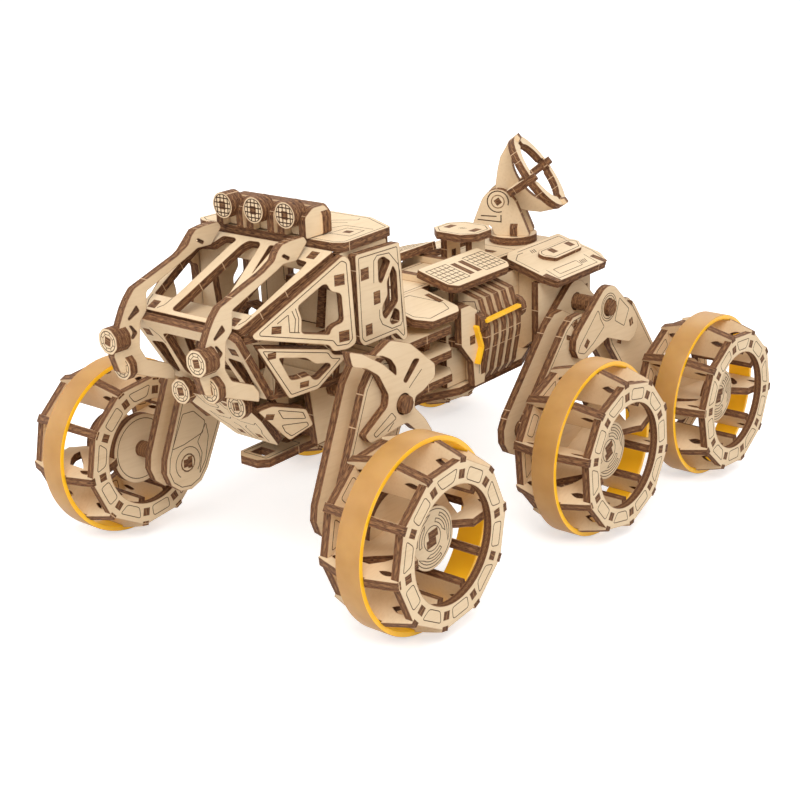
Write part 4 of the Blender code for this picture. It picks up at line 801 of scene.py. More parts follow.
side_toe = radians(16.0)
window = body_frame @ slanted_side((26.0 * MM, -116.7 * MM, 101.2 * MM), side_toe, 0.0)
work = bmesh.new()
slab(work, window, [(-1.8, 0.7), (33.0, 20.2), (35.4, 18.2), (36.5, -9.8), (33.2, -11.3), (27.4, -10.9),
                    (26.2, -8.4), (-1.0, -0.9)],
     [[(15.9, -2.4), (26.4, -5.0), (27.0, -3.3), (28.7, -2.4), (32.0, -1.8), (31.6, 7.8), (27.6, 9.2), (26.3, 11.9),
       (24.7, 11.9),
       (15.0, 6.7), (16.4, 2.5)]], corner=1.4 * MM)
toast_corners(work)
engrave(work, window, [(0.9, 0.9), (32.3, 18.4), (34.0, 17.4), (35.0, -8.3), (33.3, -9.6), (29.0, -9.3),
                       (27.6, -7.2), (1.0, 0.0)])
engrave(work, window, [(7.4, 2.6), (11.4, 4.6)], [(11.6, 4.6), (11.7, -1.1), (15.4, -2.0)],
        [(13.0, 5.6), (14.1, 2.7), (13.5, -1.6)],
        [(14.3, 6.2), (15.3, 2.6), (14.8, -1.9)], closed=False)
slots(work, window, (31.1, 12.3, 3.9, 3.7, 0), (7.0, 0.6, 3.6, 2.5, -8), (31.9, -6.6, 4.0, 3.7, 0))
pair(work, "side_window_sheet", "side_window")

lower = body_frame @ slanted_side((26.0 * MM, -116.1 * MM, 97.4 * MM), side_toe, radians(12.0))
work = bmesh.new()
slab(work, lower, [(-0.9, -0.1), (26.4, -6.8), (28.2, -9.2), (33.8, -10.5), (23.2, -20.6), (12.2, -21.6)],
     [[(7.2, -5.4), (9.9, -6.0), (17.6, -7.8), (21.4, -11.0), (26.6, -11.8), (27.6, -13.2), (22.6, -17.2),
       (20.6, -16.4), (19.6, -14.6),
       (14.4, -15.0), (12.2, -14.6)]])
toast_corners(work)
engrave(work, lower, [(1.3, -1.7), (25.8, -7.9), (27.6, -10.4), (31.0, -11.2), (22.8, -19.2), (12.9, -20.2)])
slots(work, lower, (4.7, -4.1, 3.1, 2.4, 0), (17.6, -17.6, 3.4, 2.2, 0))
pair(work, "lower_panel_sheet", "lower_side_panel")

chin = body_frame @ slanted_side((19.5 * MM, -112.0 * MM, 73.5 * MM), side_toe, radians(15.0))
work = bmesh.new()
slab(work, chin, [(-0.2, -0.1), (5.1, 0.6), (18.3, -4.0), (21.8, -11.2), (13.0, -14.9), (10.1, -11.9)])
toast_corners(work)
engrave(work, chin, [(7.4, -1.6), (17.2, -5.0), (18.6, -7.8), (9.6, -5.4)],
        [(9.4, -8.0), (19.2, -9.4), (20.0, -11.0), (13.6, -13.4), (11.0, -11.0)])
slots(work, chin, (4.4, -3.4, 3.4, 2.2, -14))
pair(work, "chin_panel_sheet", "chin_panel")

rear_side = body_frame @ facing_side(36.0 * MM, -80.3 * MM, 85.4 * MM)
work = bmesh.new()
slab(work, rear_side, [(0.0, 34.9), (22.3, 34.4), (25.0, 0.9), (23.0, -0.1), (19.0, 3.8), (2.6, 3.7), (0.4, 6.0)],
     [[(11.0, 31.0), (13.8, 31.5), (17.5, 29.0), (12.6, 22.6), (11.0, 23.4)],
      [(18.6, 27.4), (20.4, 24.4), (20.6, 14.4), (13.8, 9.9), (12.4, 11.6), (12.4, 14.6), (15.4, 18.0), (15.2, 22.4)],
      [(18.6, 12.8), (21.2, 11.0), (21.0, 7.2), (17.0, 7.2), (15.8, 8.8)]])
toast_corners(work)
engrave(work, rear_side, [(1.5, 33.5), (21.0, 33.1), (23.5, 2.4), (22.9, 1.8), (19.6, 5.1), (3.2, 5.0), (1.8, 6.4)])
engrave(work, rear_side, [(8.6, 23.6), (9.0, 31.0), (10.7, 32.4), (16.8, 31.9), (21.2, 27.2), (22.0, 24.4),
                          (22.6, 7.0), (21.6, 5.9),
                          (17.0, 5.9), (12.2, 8.6), (10.9, 11.0), (10.9, 14.0)], closed=False)
slots(work, rear_side, (4.3, 27.7, 4.0, 4.0, 0), (9.9, 18.4, 3.4, 4.4, 0), (5.3, 8.6, 3.4, 3.8, 0))
pair(work, "rear_side_sheet", "rear_side_panel")


# The middle body: the engine's banks of ribs on edge with an amber band from disc to disc along the rod, the grid
# panels over them, the wing panels ahead of them and the console's lid on its posts.

work, broad = sheets_of("engine_ribs_left")
cheek = body_frame @ facing_side(30.5 * MM, 0.0, 0.0)
engrave(work, cheek, [(-16.8, 88.0), (-9.6, 86.0), (-7.4, 80.0), (-7.0, 70.0), (-7.8, 58.0)], closed=False)
slots(work, cheek, (-11.4, 72.0, 3.2, 3.4, 0))
pair(work, "engine_sheets", "engine_ribs")

work = bmesh.new()
for low, high, x in (((-7.4, 78.6), (14.0, 79.2), 33.4), ((-10.6, 77.2), (-7.6, 68.6), 31.6),
                     ((-7.6, 68.6), (-10.2, 62.6), 31.6)):
    start, end = Vector(low) * MM, Vector(high) * MM
    aside = Vector((start.y - end.y, end.x - start.x)).normalized() * 0.55 * MM
    cut_sheet(work, [start - aside, end - aside, end + aside, start + aside],
              place=body_frame @ facing_side(x * MM, 0.0, 0.0), thickness=2.0 * MM)
engine_band = work
grid_slope = radians(14.0)
grid_panel = body_frame @ sloping_out(10.0 * MM, -17.0 * MM, 96.8 * MM, grid_slope)
work = bmesh.new()
slab(work, grid_panel, [(0, 0), (14.6, 0), (17.5, 2.9), (17.5, 34.1), (14.6, 37), (0, 37)])
toast_corners(work)
for low, high in ((1.4, 13.4), (23.6, 35.6)):
    for i in range(6):
        engrave(work, grid_panel, [(3.0 + 2.3 * i, low), (3.0 + 2.3 * i, high)], closed=False, width=0.34 * MM)
        engrave(work, grid_panel, [(3.0, low + 2.4 * i), (14.5, low + 2.4 * i)], closed=False, width=0.34 * MM)
slots(work, grid_panel, (8.8, 16.2, 9.6, 2.7, 0), (8.8, 20.8, 9.6, 2.7, 0))
pair(work, "grid_panel_sheet", "grid_panel")

wing = body_frame @ sloping_out(12.6 * MM, -41.0 * MM, 90.6 * MM, grid_slope)
work = bmesh.new()
slab(work, wing, [(0, 0), (15, 0), (20, 5), (20, 20), (17, 23), (0, 23)])
toast_corners(work)
engrave(work, wing, [(1.6, 1.8), (13.6, 1.8), (17.8, 6.0), (16.6, 18.4), (12.4, 20.4), (1.6, 14.0)])
slots(work, wing, (8.0, 20.4, 7.0, 2.6, 0))
pair(work, "wing_panel_sheet", "wing_panel")

work, broad = sheets_of("console_box")
lid = body_frame @ Matrix.Translation((0.0, 0.0, 102.2 * MM))
engrave(work, lid, [(-5.0, 16.4), (5.0, 16.4), (9.2, 20.6), (9.2, 28.0), (5.0, 32.1), (-5.0, 32.1), (-9.2, 28.0),
                    (-9.2, 20.6)])
engrave(work, lid, *[[(-1.5 + i, 23.4), (-0.5 + i, 25.2)] for i in range(3)], closed=False)
slots(work, lid, (-6.0, 24.2, 3.0, 5.0, 0), (6.0, 24.2, 3.0, 5.0, 0))
as_piece(work, "console_sheets", "root", stands_for=("console_box",))


# The rear body: two sloping deck sheets with a raised hatch each, the side walls and the tail panel.

deck = body_frame @ sloping_out(12.4 * MM, 31.0 * MM, 91.4 * MM, radians(14.5))
raised = deck @ Matrix.Translation((0.0, 0.0, 1.5 * MM))
work = bmesh.new()
slab(work, deck, [(0, 5.4), (3.4, 0.6), (17.0, 0.2), (20.2, 0), (27.0, 2.0), (27.0, 36.5), (20.6, 41), (17.0, 41),
                  (0, 41)])
slab(work, raised, [(7.6, 15.6), (9.6, 12.9), (12.0, 12.9), (15.8, 16.4), (15.2, 35.4), (11.0, 39.4), (9.0, 39.0),
                    (6.9, 36.0)],
     thickness=1.5 * MM)
toast_corners(work)
engrave(work, raised, [(8.6, 16.0), (10.2, 14.2), (11.6, 14.2), (14.6, 17.0), (14.0, 34.8), (10.8, 38.0),
                       (9.6, 37.6), (8.0, 35.4)])
slots(work, raised, (10.6, 21.0, 3.4, 3.4, 0), (10.6, 33.0, 3.4, 3.4, 0))
engrave(work, deck, [(18.4, 6.0), (25.4, 4.6), (25.4, 31.6), (18.0, 33.0)],
        [(2.0, 9.4), (1.8, 38.6), (17.4, 39.6), (24.0, 37.4)],
        [(3.6, 11), (3.6, 7.4), (6.2, 2.6), (18.0, 1.9)], closed=False)
engrave(work, deck, [(19.6, 9.0), (23.4, 8.4), (23.4, 24.0), (19.6, 24.8)])
engrave(work, deck, *[[(20.4, 26.2 + 1.1 * i), (22.8, 25.0 + 1.1 * i)] for i in range(4)], closed=False,
        width=0.4 * MM)
engrave(work, deck, *[[(3.8, 15.6 + 1.2 * i), (6.0, 14.4 + 1.2 * i)] for i in range(3)], closed=False, width=0.4 * MM)
slots(work, deck, (23.6, 2.3, 6.6, 3.0, 6), (23.6, 35.4, 6.6, 3.0, 6))
pair(work, "deck_sheets", "rear_deck")

work, broad = sheets_of("rear_wall_left")
wall = body_frame @ facing_side(30.4 * MM, 0.0, 0.0)
engrave(work, wall, [(47.9, 76.0), (57.5, 75.6), (58.5, 69.6), (56.0, 67.0), (50.4, 68.8), (48.6, 71.4)])
slots(work, wall, (44.6, 73.0, 2.9, 2.6, 0), (79.6 - 15, 73.4, 2.9, 2.6, 0))
pair(work, "rear_wall_sheet", "rear_wall")

work, broad = sheets_of("tail_panel")
contour(work, broad, Vector((0.0, 1.0, 0.0)), 1.6 * MM)
as_piece(work, "tail_sheet", "root", stands_for=("tail_panel",))


# The running gear: legs of two plates round a web, the bogie arms with their laminated axle ends, and the front
# brackets of four curved leaves.

leg_marks = {"front_leg": [],
             "middle_leg": [[(31.1, 70.6), (35.2, 72.1), (35.9, 69.1), (34.4, 67.2)],
                            [(28.1, 67.4), (32.6, 65.6), (32.4, 64.0), (28.2, 65.3)]],
             "rear_leg": [[(71.2, 72.6), (76.0, 71.2), (75.7, 69.0)],
                          [(65.8, 58.9), (68.9, 57.6), (68.2, 54.9), (64.9, 56.1)]]}
foot_lines = [[(-1.6, 18.6), (3.6, 18.5), (9.0, 13.5), (7.6, 9.4), (-1.7, 7.2), (-7.2, 6.8)],
              [(9.4, 12.6), (10.4, 7.4), (8.6, -1.0), (5.4, -5.6), (7.0, 2.0), (5.0, 6.6)]]
foot_arc = [(5.9 * cos(radians(turn)), 5.9 * sin(radians(turn))) for turn in range(-40, 231, 15)]
for node in leg_marks:
    work, broad = sheets_of(node + "_left")
    contour(work, broad, Vector((1.0, 0.0, 0.0)), 1.4 * MM)
    contour(work, broad, Vector((-1.0, 0.0, 0.0)), 1.4 * MM)
    leg_low, leg_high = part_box(node + "_left")
    tyre_low, tyre_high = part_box(f"tyre_{node.removesuffix('_leg')}_left")
    hub = (tyre_low + tyre_high) / 2
    for x, turned in ((leg_low.x, pi), (leg_high.x, 0.0)):
        foot = Matrix.Translation((x, hub.y, hub.z)) @ facing_side(0.0, 0.0, 0.0) @ Matrix.Rotation(turned, 4, "Y")
        way = -1 if turned else 1
        engrave(work, foot, [(way * u, v) for u, v in foot_arc], closed=False)
        if node == "front_leg":
            engrave(work, foot, *[[(way * u, v) for u, v in points[::way]] for points in foot_lines])
        slots(work, foot, (-1.0, 0, 2.1, 4.4, 0), (1.1, 0, 2.1, 3.0, 0))
    outer_face = level_frame @ facing_side(45.4 * MM, 0.0, 0.0)
    for points in leg_marks[node]:
        inlay(work, metres(points), outer_face)
    pair(work, node + "_sheets", node)

work, broad = sheets_of("bogie_arm_left")
arm = level_frame @ facing_side(48.7 * MM, 0.0, 0.0)
engrave(work, arm, ring_points(5.5, 28, centre=(52.4, 73.8)), ring_points(4.6, 28, centre=(52.4, 73.8)))
engrave(work, arm, [(31.6, 60.0), (32.6, 62.4), (44.6, 74.0), (45.8, 72.6), (46.6, 70.2), (49.6, 66.6), (42.4, 61.6),
                    (36.0, 58.6)])
engrave(work, arm, [(60.2, 76.0), (67.6, 70.2), (64.5, 63.8), (57.4, 67.4)])
slots(work, arm, (37.6, 62.3, 2.6, 3.4, -40), (69.8, 64.4, 2.6, 3.2, 20))
pair(work, "bogie_arm_sheets", "bogie_arm")

work = bmesh.new()
bracket = level_frame @ facing_side(48.7 * MM, 0.0, 0.0)
hub_bore = [(-74.0 + 3.7 * cos(tau * i / 20), 66.5 + 3.7 * sin(tau * i / 20)) for i in range(20)]
slab(work, bracket, [(-101.0, 90.2), (-94.4, 88.1), (-84.3, 82.4), (-77.6, 76.9), (-77.8, 80.0), (-80.4, 83.2),
                     (-84.8, 85.4), (-88.8, 86.0),
                     (-80.7, 89.6), (-70.7, 86.5), (-57.3, 76.4), (-57.2, 71.9), (-63.4, 68.6), (-67.8, 67.6),
                     (-68.4, 64.0), (-62.4, 58.4),
                     (-58.4, 52.9), (-67.1, 55.4), (-72.2, 59.6), (-76.2, 59.2), (-84.5, 57.9), (-90.9, 57.3),
                     (-93.7, 60.4), (-82.3, 67.6),
                     (-81.6, 71.3), (-86.6, 79.2), (-92.6, 82.9), (-99.4, 84.9)],
     [hub_bore, [(-74.4, 74.4), (-68.6, 80.8), (-65.4, 80.0), (-72.6, 73.2)]], corner=1.2 * MM)
toast_corners(work)
engrave(work, bracket, [(-80.1, 65.0), (-77.8, 62.5), (-88.2, 58.6), (-89.4, 60.0)])
engrave(work, bracket, [(-71.1, 71.3), (-68.8, 73.1), (-64.5, 76.2)], [(-79.1, 61.4), (-82.3, 59.0)], closed=False)
pair(work, "bracket_sheet", "front_bracket")


# A wheel: two ten-sided rings, ten cross plates on edge that slot through them, two of which run on as one full
# spoke, an outer hub disc with engraved swirls, a plain inner one and a laminated axle. It is all plywood, dry
# fitted, so the plates' ends show as dark squares in the rings.

wheel_half = 15.75 * MM
ring_corner_radius = 28.0 * MM
ring_hole_radius = 19.7 * MM
band_seat_radius = 30.6 * MM
lug_crown_radius = 31.3 * MM
band_half_width = 4.8 * MM
plate_inner_radius = 18.3 * MM
hub_outer_radius = 10.7 * MM
hub_inner_radius = 13.0 * MM
hub_outer_inset = 8.6 * MM
hub_inner_inset = 5.0 * MM
axle_radius = 3.0 * MM
axle_reach = 19.7 * MM
ring_sides = 10
full_spokes = (0, 5)
slot_radius = 23.0 * MM
wheel_turns = {"front": 0.275, "middle": 0.3228, "rear": 0.244}


def almond(centre, length, height, steps=6):
    """A pointed oval."""
    upper = [(centre[0] + length * (i / steps - 0.5), centre[1] + height / 2 * sin(pi * i / steps))
             for i in range(steps)]
    lower = [(centre[0] - length * (i / steps - 0.5), centre[1] - height / 2 * sin(pi * i / steps))
             for i in range(steps)]
    return upper + lower


def arch(start, end, steps, rise_share):
    """Points of a curved stretch between two points, which leaves the first one steeply."""
    return [(start[0] + (end[0] - start[0]) * t, start[1] + (end[1] - start[1]) * t ** rise_share)
            for t in (i / steps for i in range(1, steps))]


def wheel_work():
    """One left wheel about X, its outer face towards +X."""
    work = bmesh.new()
    inner_face = wheel_half - ply
    recess = band_half_width + 0.3 * MM
    for side in (-1, 1):
        at_ring = facing_side(side * (wheel_half - ply / 2), 0.0, 0.0)
        cut_sheet(work, ring_points(ring_corner_radius, ring_sides, pi / ring_sides),
                  [ring_points(ring_hole_radius, 60)], at_ring)
    hub_x = wheel_half - hub_outer_inset - ply / 2
    back_hub_x = -wheel_half + hub_inner_inset + ply / 2
    cut_sheet(work, ring_points(hub_outer_radius, 48), place=facing_side(hub_x, 0.0, 0.0))
    cut_sheet(work, ring_points(hub_inner_radius, 48), place=facing_side(back_hub_x, 0.0, 0.0))
    tab_low, tab_high, lip_low = slot_radius - ply / 2, slot_radius + ply / 2, 26.6 * MM
    outer = wheel_half + score_proud
    lug = [(recess, band_seat_radius), (recess, lug_crown_radius), (inner_face, 29.2 * MM), (outer, 28.3 * MM),
           (outer, lip_low), (inner_face, lip_low), (inner_face, tab_high), (outer, tab_high), (outer, tab_low),
           (inner_face, tab_low)]
    left_lug = [(-x, v) for x, v in reversed(lug)]
    eyes = [almond((side * 9.6 * MM, 25.4 * MM), 6.4 * MM, 2.4 * MM) for side in (-1, 1)]
    short = lug + [(inner_face, plate_inner_radius), (-inner_face, plate_inner_radius)] + left_lug
    hub_low = hub_outer_radius - ply
    right_arch = [(inner_face, 14.3 * MM), (11.2 * MM, 13.4 * MM), (9.6 * MM, 12.2 * MM), (8.2 * MM, 11.0 * MM),
                  (7.1 * MM, 10.2 * MM)]
    spoke_window = metres([(-6.2, 23.7), (1.1, 23.7), (4.4, 20.4), (6.1, 17.4), (6.0, 14.9), (3.3, 16.8),
                           (-0.9, 19.5)])
    windows = [spoke_window, [(x, -v) for x, v in spoke_window]]
    back_low = hub_inner_radius - ply
    arch_foot = (-inner_face, plate_inner_radius)
    left_arch = [arch_foot] + arch(arch_foot, (back_hub_x, back_low), 6, 0.45)
    upper = lug + right_arch + [(hub_x, hub_low)]
    lower = [(x, -v) for x, v in reversed(upper)]
    under = [(x, -v) for x, v in left_lug]
    left_side = [(back_hub_x, back_low)] + list(reversed(left_arch)) + left_lug
    spoke = upper + lower + [(x, -v) for x, v in reversed(left_side)] + left_side
    lower_eyes = [[(x, -v) for x, v in eye] for eye in eyes]
    for step in range(ring_sides):
        turned = Matrix.Rotation(tau * step / ring_sides - pi / 2, 4, "X")
        opposite = (step + ring_sides // 2) % ring_sides
        if step not in full_spokes:
            cut_sheet(work, short, eyes, turned)
        elif step < opposite:
            cut_sheet(work, spoke, eyes + lower_eyes + windows, turned)
    axle_end = -wheel_half - axle_reach
    cut_sheet(work, ring_points(axle_radius, 24), place=facing_side((back_hub_x + axle_end) / 2, 0.0, 0.0),
              thickness=back_hub_x - axle_end)
    toast_corners(work)
    engrave_wheel(work, hub_x, back_hub_x)
    return work


def engrave_wheel(work, hub_x, back_hub_x):
    """The rings' ten rounded windows on each face, and the swirls on the hub."""
    half_turn = pi / ring_sides
    for face_x, outwards in ((wheel_half, 1), (wheel_half - ply, -1), (-wheel_half + ply, 1), (-wheel_half, -1)):
        place = facing_side(face_x, 0.0, 0.0)
        if outwards < 0:
            place = place @ Matrix.Rotation(pi, 4, "X")
        for step in range(ring_sides):
            middle = tau * step / ring_sides
            low, high = (0.60, 0.52) if step % 2 else (0.46, 0.66)
            window = []
            for radius, spread in ((25.2 * MM, -high), (25.2 * MM, high), (21.2 * MM, low), (21.2 * MM, -low)):
                turn = middle + spread * half_turn
                window.append((radius * cos(turn), radius * sin(turn)))
            score(work, rounded(window, 1.1 * MM), place)
    hub_face = facing_side(hub_x + ply / 2, 0.0, 0.0)
    score(work, ring_points(9.7 * MM, 40), hub_face)
    score(work, ring_points(4.2 * MM, 24), hub_face)
    for third in range(3):
        start = tau * third / 3
        for inner, outer, first, last in ((7.6, 8.6, 0.0, 1.5), (5.4, 6.6, 0.5, 1.7)):
            sweep = [(outer * MM * cos(start + first + (last - first) * i / 8),
                      outer * MM * sin(start + first + (last - first) * i / 8))
                     for i in range(9)]
            back = [(inner * MM * cos(start + last - (last - first) * i / 8 * 0.8),
                     inner * MM * sin(start + last - (last - first) * i / 8 * 0.8))
                    for i in range(9)]
            score(work, sweep + back, hub_face)
    for u, v in ((-1.4 * MM, 0.6 * MM), (1.4 * MM, -0.6 * MM)):
        inlay(work, [(u - 1.4 * MM, v - 2.4 * MM), (u + 1.4 * MM, v - 2.4 * MM), (u + 1.4 * MM, v + 2.4 * MM),
                     (u - 1.4 * MM, v + 2.4 * MM)], hub_face, turn=pi / 2)
    back_face = facing_side(back_hub_x - ply / 2, 0.0, 0.0) @ Matrix.Rotation(pi, 4, "X")
    score(work, ring_points(11.4 * MM, 40), back_face)


wheel_model = bpy.data.meshes.new("wheel_model")
work = wheel_work()
work.to_mesh(wheel_model)
work.free()


def wheel_place(row, side):
    """Where a row's wheel stands, turned as it stands in the photograph."""
    low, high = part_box(f"tyre_{row}_{side}")
    turned = Matrix.Translation((low + high) / 2) @ (mirror_x if side == "right" else Matrix.Identity(4))
    return turned @ Matrix.Rotation(tau * wheel_turns[row], 4, "X")


for row in wheel_turns:
    for side in ("left", "right"):
        work = bmesh.new()
        work.from_mesh(wheel_model)
        bmesh.ops.transform(work, matrix=wheel_place(row, side), verts=work.verts)
        if side == "right":
            bmesh.ops.reverse_faces(work, faces=work.faces)
        body = f"wheel_{row}_{side}"
        as_piece(work, body + "_ply", body, stands_for=(body,))
bpy.data.meshes.remove(wheel_model)


# The antenna's turntable: a disc with two rounded cheeks that hold the dish, an engraved ring and loop on each.

antenna_frame = body_frame @ Matrix.Translation((0.0, 57.9 * MM, 93.3 * MM)) @ Matrix.Rotation(radians(23.8), 4, "Z")
to_left = Matrix(((1, 0, 0, 0), (0, 0, -1, 0), (0, 1, 0, 0), (0, 0, 0, 1)))
pivot_u, pivot_v = -4.8, 13.8
work = bmesh.new()
cut_sheet(work, ring_points(9.6 * MM, 48), place=antenna_frame @ Matrix.Translation((0.0, 0.0, -1.5 * MM)))
cut_sheet(work, ring_points(2.6 * MM, 20), place=antenna_frame @ Matrix.Translation((0.0, 0.0, -5.4 * MM)),
          thickness=8.0 * MM)
outline = [(-15.4, 4.2), (-11.0, 15.4), (-8.2, 18.2), (-4.8, 19.0), (-1.6, 18.2), (2.2, 14.6), (8.2, 0.0),
           (-6.4, 0.0), (-7.6, 4.2)]
near_cheek = antenna_frame @ Matrix.Translation((0.0, -6.0 * MM, 0.0)) @ to_left
bore = [(pivot_u + 2.7 * cos(tau * i / 20), pivot_v + 2.7 * sin(tau * i / 20)) for i in range(20)]
slab(work, near_cheek, outline, [bore], corner=1.6 * MM)
slab(work, near_cheek @ Matrix.Translation((0.0, 0.0, -9.0 * MM)), outline, [bore], corner=1.6 * MM)
slab(work, antenna_frame @ facing_side(3.2 * MM, 0.0, 0.0),
     [(-7.6, 0.0), (7.6, 0.0), (7.6, 4.2), (5.0, 5.6), (-5.0, 5.6), (-7.6, 4.2)])
toast_corners(work)
far_cheek = antenna_frame @ Matrix.Translation((0.0, 6.0 * MM, 0.0)) @ to_left @ Matrix.Rotation(pi, 4, "Y")
for cheek, way in ((near_cheek, 1), (far_cheek, -1)):
    ring = [(way * (pivot_u + 4.3 * cos(pi * 1.62 - i * pi * 1.72 / 20)),
             pivot_v + 4.3 * sin(pi * 1.62 - i * pi * 1.72 / 20))
            for i in range(21)]
    engrave(work, cheek, ring, closed=False, width=0.45 * MM)
    engrave(work, cheek, [(way * -11.8, 8.0), (way * -5.4, 7.8)],
            [(way * -13.2, 6.4), (way * -3.6, 5.6), (way * -3.6, 8.4)], closed=False,
            width=0.45 * MM)
as_piece(work, "turntable_sheets", "antenna_turntable", stands_for=("antenna_turntable",))


# The dish: a ring with four notches on two crossing plates, whose dark ends stand out past it, and a neck that
# turns on a square laminated pin between the cheeks.

ring_radius, ring_hole, ring_far = 17.6, 13.2, 19.6
bowl_radius, bowl_depth, bowl_edge = 13.4, 7.2, 0.9
dish_up = radians(36.5)
dish_share = 0.94
pivot_place = antenna_frame @ Matrix.Translation((pivot_u * MM, 0.0,
                                                  pivot_v * MM)) @ Matrix.Rotation(-dish_up, 4, "Y")
facing_aim = pivot_place @ Matrix(((0, 0, 1, 0), (1, 0, 0, 0), (0, 1, 0, 0),
                                   (0, 0, 0, 1))) @ Matrix.Scale(dish_share, 4)
front = facing_aim @ Matrix.Translation((0.0, 0.0, (ring_far + 1.5) * MM))
work = bmesh.new()
notched = []
for quarter in range(4):
    turn = tau * quarter / 4
    side, out = Vector((-sin(turn), cos(turn))), Vector((cos(turn), sin(turn)))
    notched += [tuple(out * 13.4 - side * 2.6), tuple(out * 14.6 - side * 2.6), tuple(out * 14.6 + side * 2.6),
                tuple(out * 13.4 + side * 2.6)]
    notched += [(ring_hole * cos(turn + tau / 4 * t), ring_hole * sin(turn + tau / 4 * t))
                for t in (0.16, 0.26, 0.38, 0.5, 0.62, 0.74, 0.84)]
slab(work, front, [(ring_radius * cos(tau * i / 48), ring_radius * sin(tau * i / 48)) for i in range(48)], [notched],
     corner=0.01 * MM)
rim = [(17.9, 3.2), (17.7, -1.5), (16.6, -3.6), (14.5, -8.5), (11.0, -12.6)]
bowl_turns = [pi / 2 * (1 - i / 9) for i in range(9)]
bowl = [(bowl_radius * sin(turn), -bowl_edge - bowl_depth * cos(turn)) for turn in bowl_turns]
prong = [(15.6, 3.2), (14.8, 1.6), (14.6, -0.4)]
half = rim[::-1] + prong + bowl
inner = half + [(0.0, -bowl_edge - bowl_depth)] + [(-s, d) for s, d in reversed(half)]
neck = [(-4.0 * cos(pi * i / 8), -ring_far - 4.0 * sin(pi * i / 8)) for i in range(9)]
edge_on = facing_aim @ Matrix.Translation((0.0, 0.0, ring_far * MM))
upright = edge_on @ Matrix(((0, 0, 1, 0), (1, 0, 0, 0), (0, 1, 0, 0), (0, 0, 0, 1)))
level = edge_on @ Matrix(((1, 0, 0, 0), (0, 0, -1, 0), (0, 1, 0, 0), (0, 0, 0, 1)))
for place, foot in ((upright, neck), (level, [(-3.0, -13.8), (3.0, -13.8)])):
    cut_sheet(work, metres(inner + foot), place=place)
pin = pivot_place @ Matrix(((1, 0, 0, 0), (0, 0, -1, 0), (0, 1, 0, 0), (0, 0, 0, 1)))
cut_sheet(work, ring_points(2.5 * MM, 20), place=pin, thickness=12.0 * MM)
toast_corners(work)
for side in (-1, 1):
    facing = pin if side > 0 else pin @ Matrix.Rotation(pi, 4, "Y")
    end = facing @ Matrix.Translation((0.0, 0.0, 6.0 * MM))
    slots(work, end, (0, 0, 2.5, 2.5, 0))
as_piece(work, "dish_sheets", "antenna_dish", stands_for=("antenna_dish",))


# The tyre: a flat rubber band, darker amber outside and clear yellow on its sides and inside, where it is painted
# brighter and given a faint painted glow for light shining through the rubber, stretched over the ten lugs. The same
# clear, glowing rubber makes the two short bands on each bank of the engine's ribs.

amber_outer_dark = (0.46, 0.225, 0.052, 1.0)
amber_warm = (0.55, 0.29, 0.080, 1.0)
amber_clear = (0.84, 0.46, 0.014, 1.0)
amber_deep = (0.76, 0.38, 0.012, 1.0)
band_radius = 32.8 * MM
band_thickness = 1.9 * MM


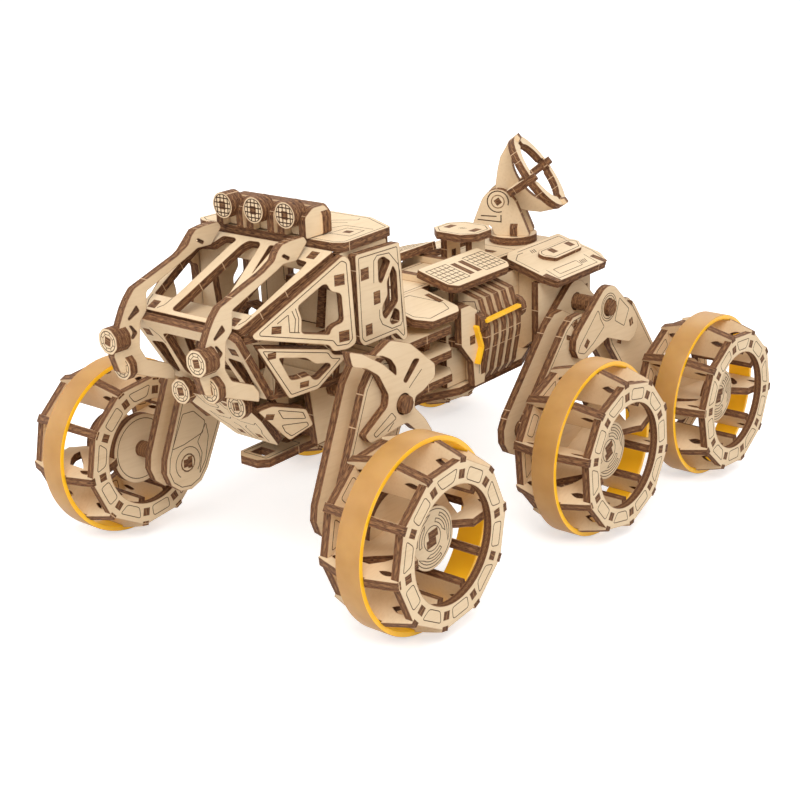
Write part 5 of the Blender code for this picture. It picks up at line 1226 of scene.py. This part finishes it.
def rubber_finish(name, first, second, roughness, painted_glow=0.0):
    """Amber rubber with soft cloudy patches and, when asked, a faint painted glow that stands in for light shining
    through it.
    """
    finish = bpy.data.materials.new(name)
    finish.use_nodes = True
    tree = finish.node_tree
    shader = tree.nodes["Principled BSDF"]
    shader.inputs["Roughness"].default_value = roughness
    # The emission is a painted glow, not a lamp: it stands in for light shining through the rubber.
    shader.inputs["Emission Color"].default_value = first
    shader.inputs["Emission Strength"].default_value = painted_glow
    shader.inputs["Subsurface Weight"].default_value = 0.25
    shader.inputs["Subsurface Radius"].default_value = (3.0 * MM, 1.4 * MM, 0.3 * MM)
    shader.inputs["Subsurface Scale"].default_value = 1.0
    place = tree.nodes.new("ShaderNodeTexCoord").outputs["Object"]
    clouds = noise(tree, place, 70.0, 3.0)
    mixed = tree.nodes.new("ShaderNodeMix")
    mixed.data_type = "RGBA"
    mixed.inputs["A"].default_value = first
    mixed.inputs["B"].default_value = second
    tree.links.new(ranged(tree, clouds, 0.35, 0.65), mixed.inputs["Factor"])
    tree.links.new(mixed.outputs["Result"], shader.inputs["Base Color"])
    bump = tree.nodes.new("ShaderNodeBump")
    bump.inputs["Strength"].default_value = 0.15
    bump.inputs["Distance"].default_value = 0.1 * MM
    tree.links.new(noise(tree, place, 900.0, 2.0), bump.inputs["Height"])
    tree.links.new(bump.outputs["Normal"], shader.inputs["Normal"])
    return finish


# The inside finish is painted brighter and glows faintly, standing in for light shining through the rubber. The
# outside one is darker amber.
amber_outside = rubber_finish("amber_outside", amber_outer_dark, amber_warm, 0.5)
amber_inside_painted_glow = rubber_finish("amber_inside_painted_glow", amber_clear, amber_deep, 0.35, 0.30)

for side in ("left", "right"):
    half = engine_band.copy()
    if side == "right":
        bmesh.ops.transform(half, matrix=mirror_x, verts=half.verts)
        bmesh.ops.reverse_faces(half, faces=half.faces)
    as_piece(half, f"engine_band_{side}", "root", (amber_inside_painted_glow, amber_inside_painted_glow))
engine_band.free()

for row in wheel_turns:
    for side in ("left", "right"):
        node = f"tyre_{row}_{side}"
        low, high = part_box(node)
        centre = (low + high) / 2
        work = bmesh.new()
        half = band_half_width
        corners = [(-half, band_radius - band_thickness), (half, band_radius - band_thickness),
                   (half, band_radius), (-half, band_radius)]
        verts = [work.verts.new((x, 0.0, z)) for x, z in corners]
        section = [work.edges.new(pair) for pair in zip(verts, verts[1:] + verts[:1])]
        bmesh.ops.bevel(work, geom=verts, offset=0.35 * MM, segments=3, profile=0.5, affect="VERTICES", material=-1)
        bmesh.ops.spin(work, geom=work.verts[:] + work.edges[:], cent=(0.0, 0.0, 0.0), axis=(1.0, 0.0, 0.0),
                       angle=tau, steps=120, use_merge=True)
        bmesh.ops.remove_doubles(work, verts=work.verts, dist=weld)
        bmesh.ops.recalc_face_normals(work, faces=work.faces)
        for face in work.faces:
            inward = Vector((0.0, face.calc_center_median().y, face.calc_center_median().z)).normalized()
            face.material_index = 1 if face.normal.dot(inward) < 0.5 else 0
            face.smooth = True
        bmesh.ops.translate(work, vec=centre, verts=work.verts)
        as_piece(work, node + "_band", f"wheel_{row}_{side}", (amber_outside, amber_inside_painted_glow), (node,))
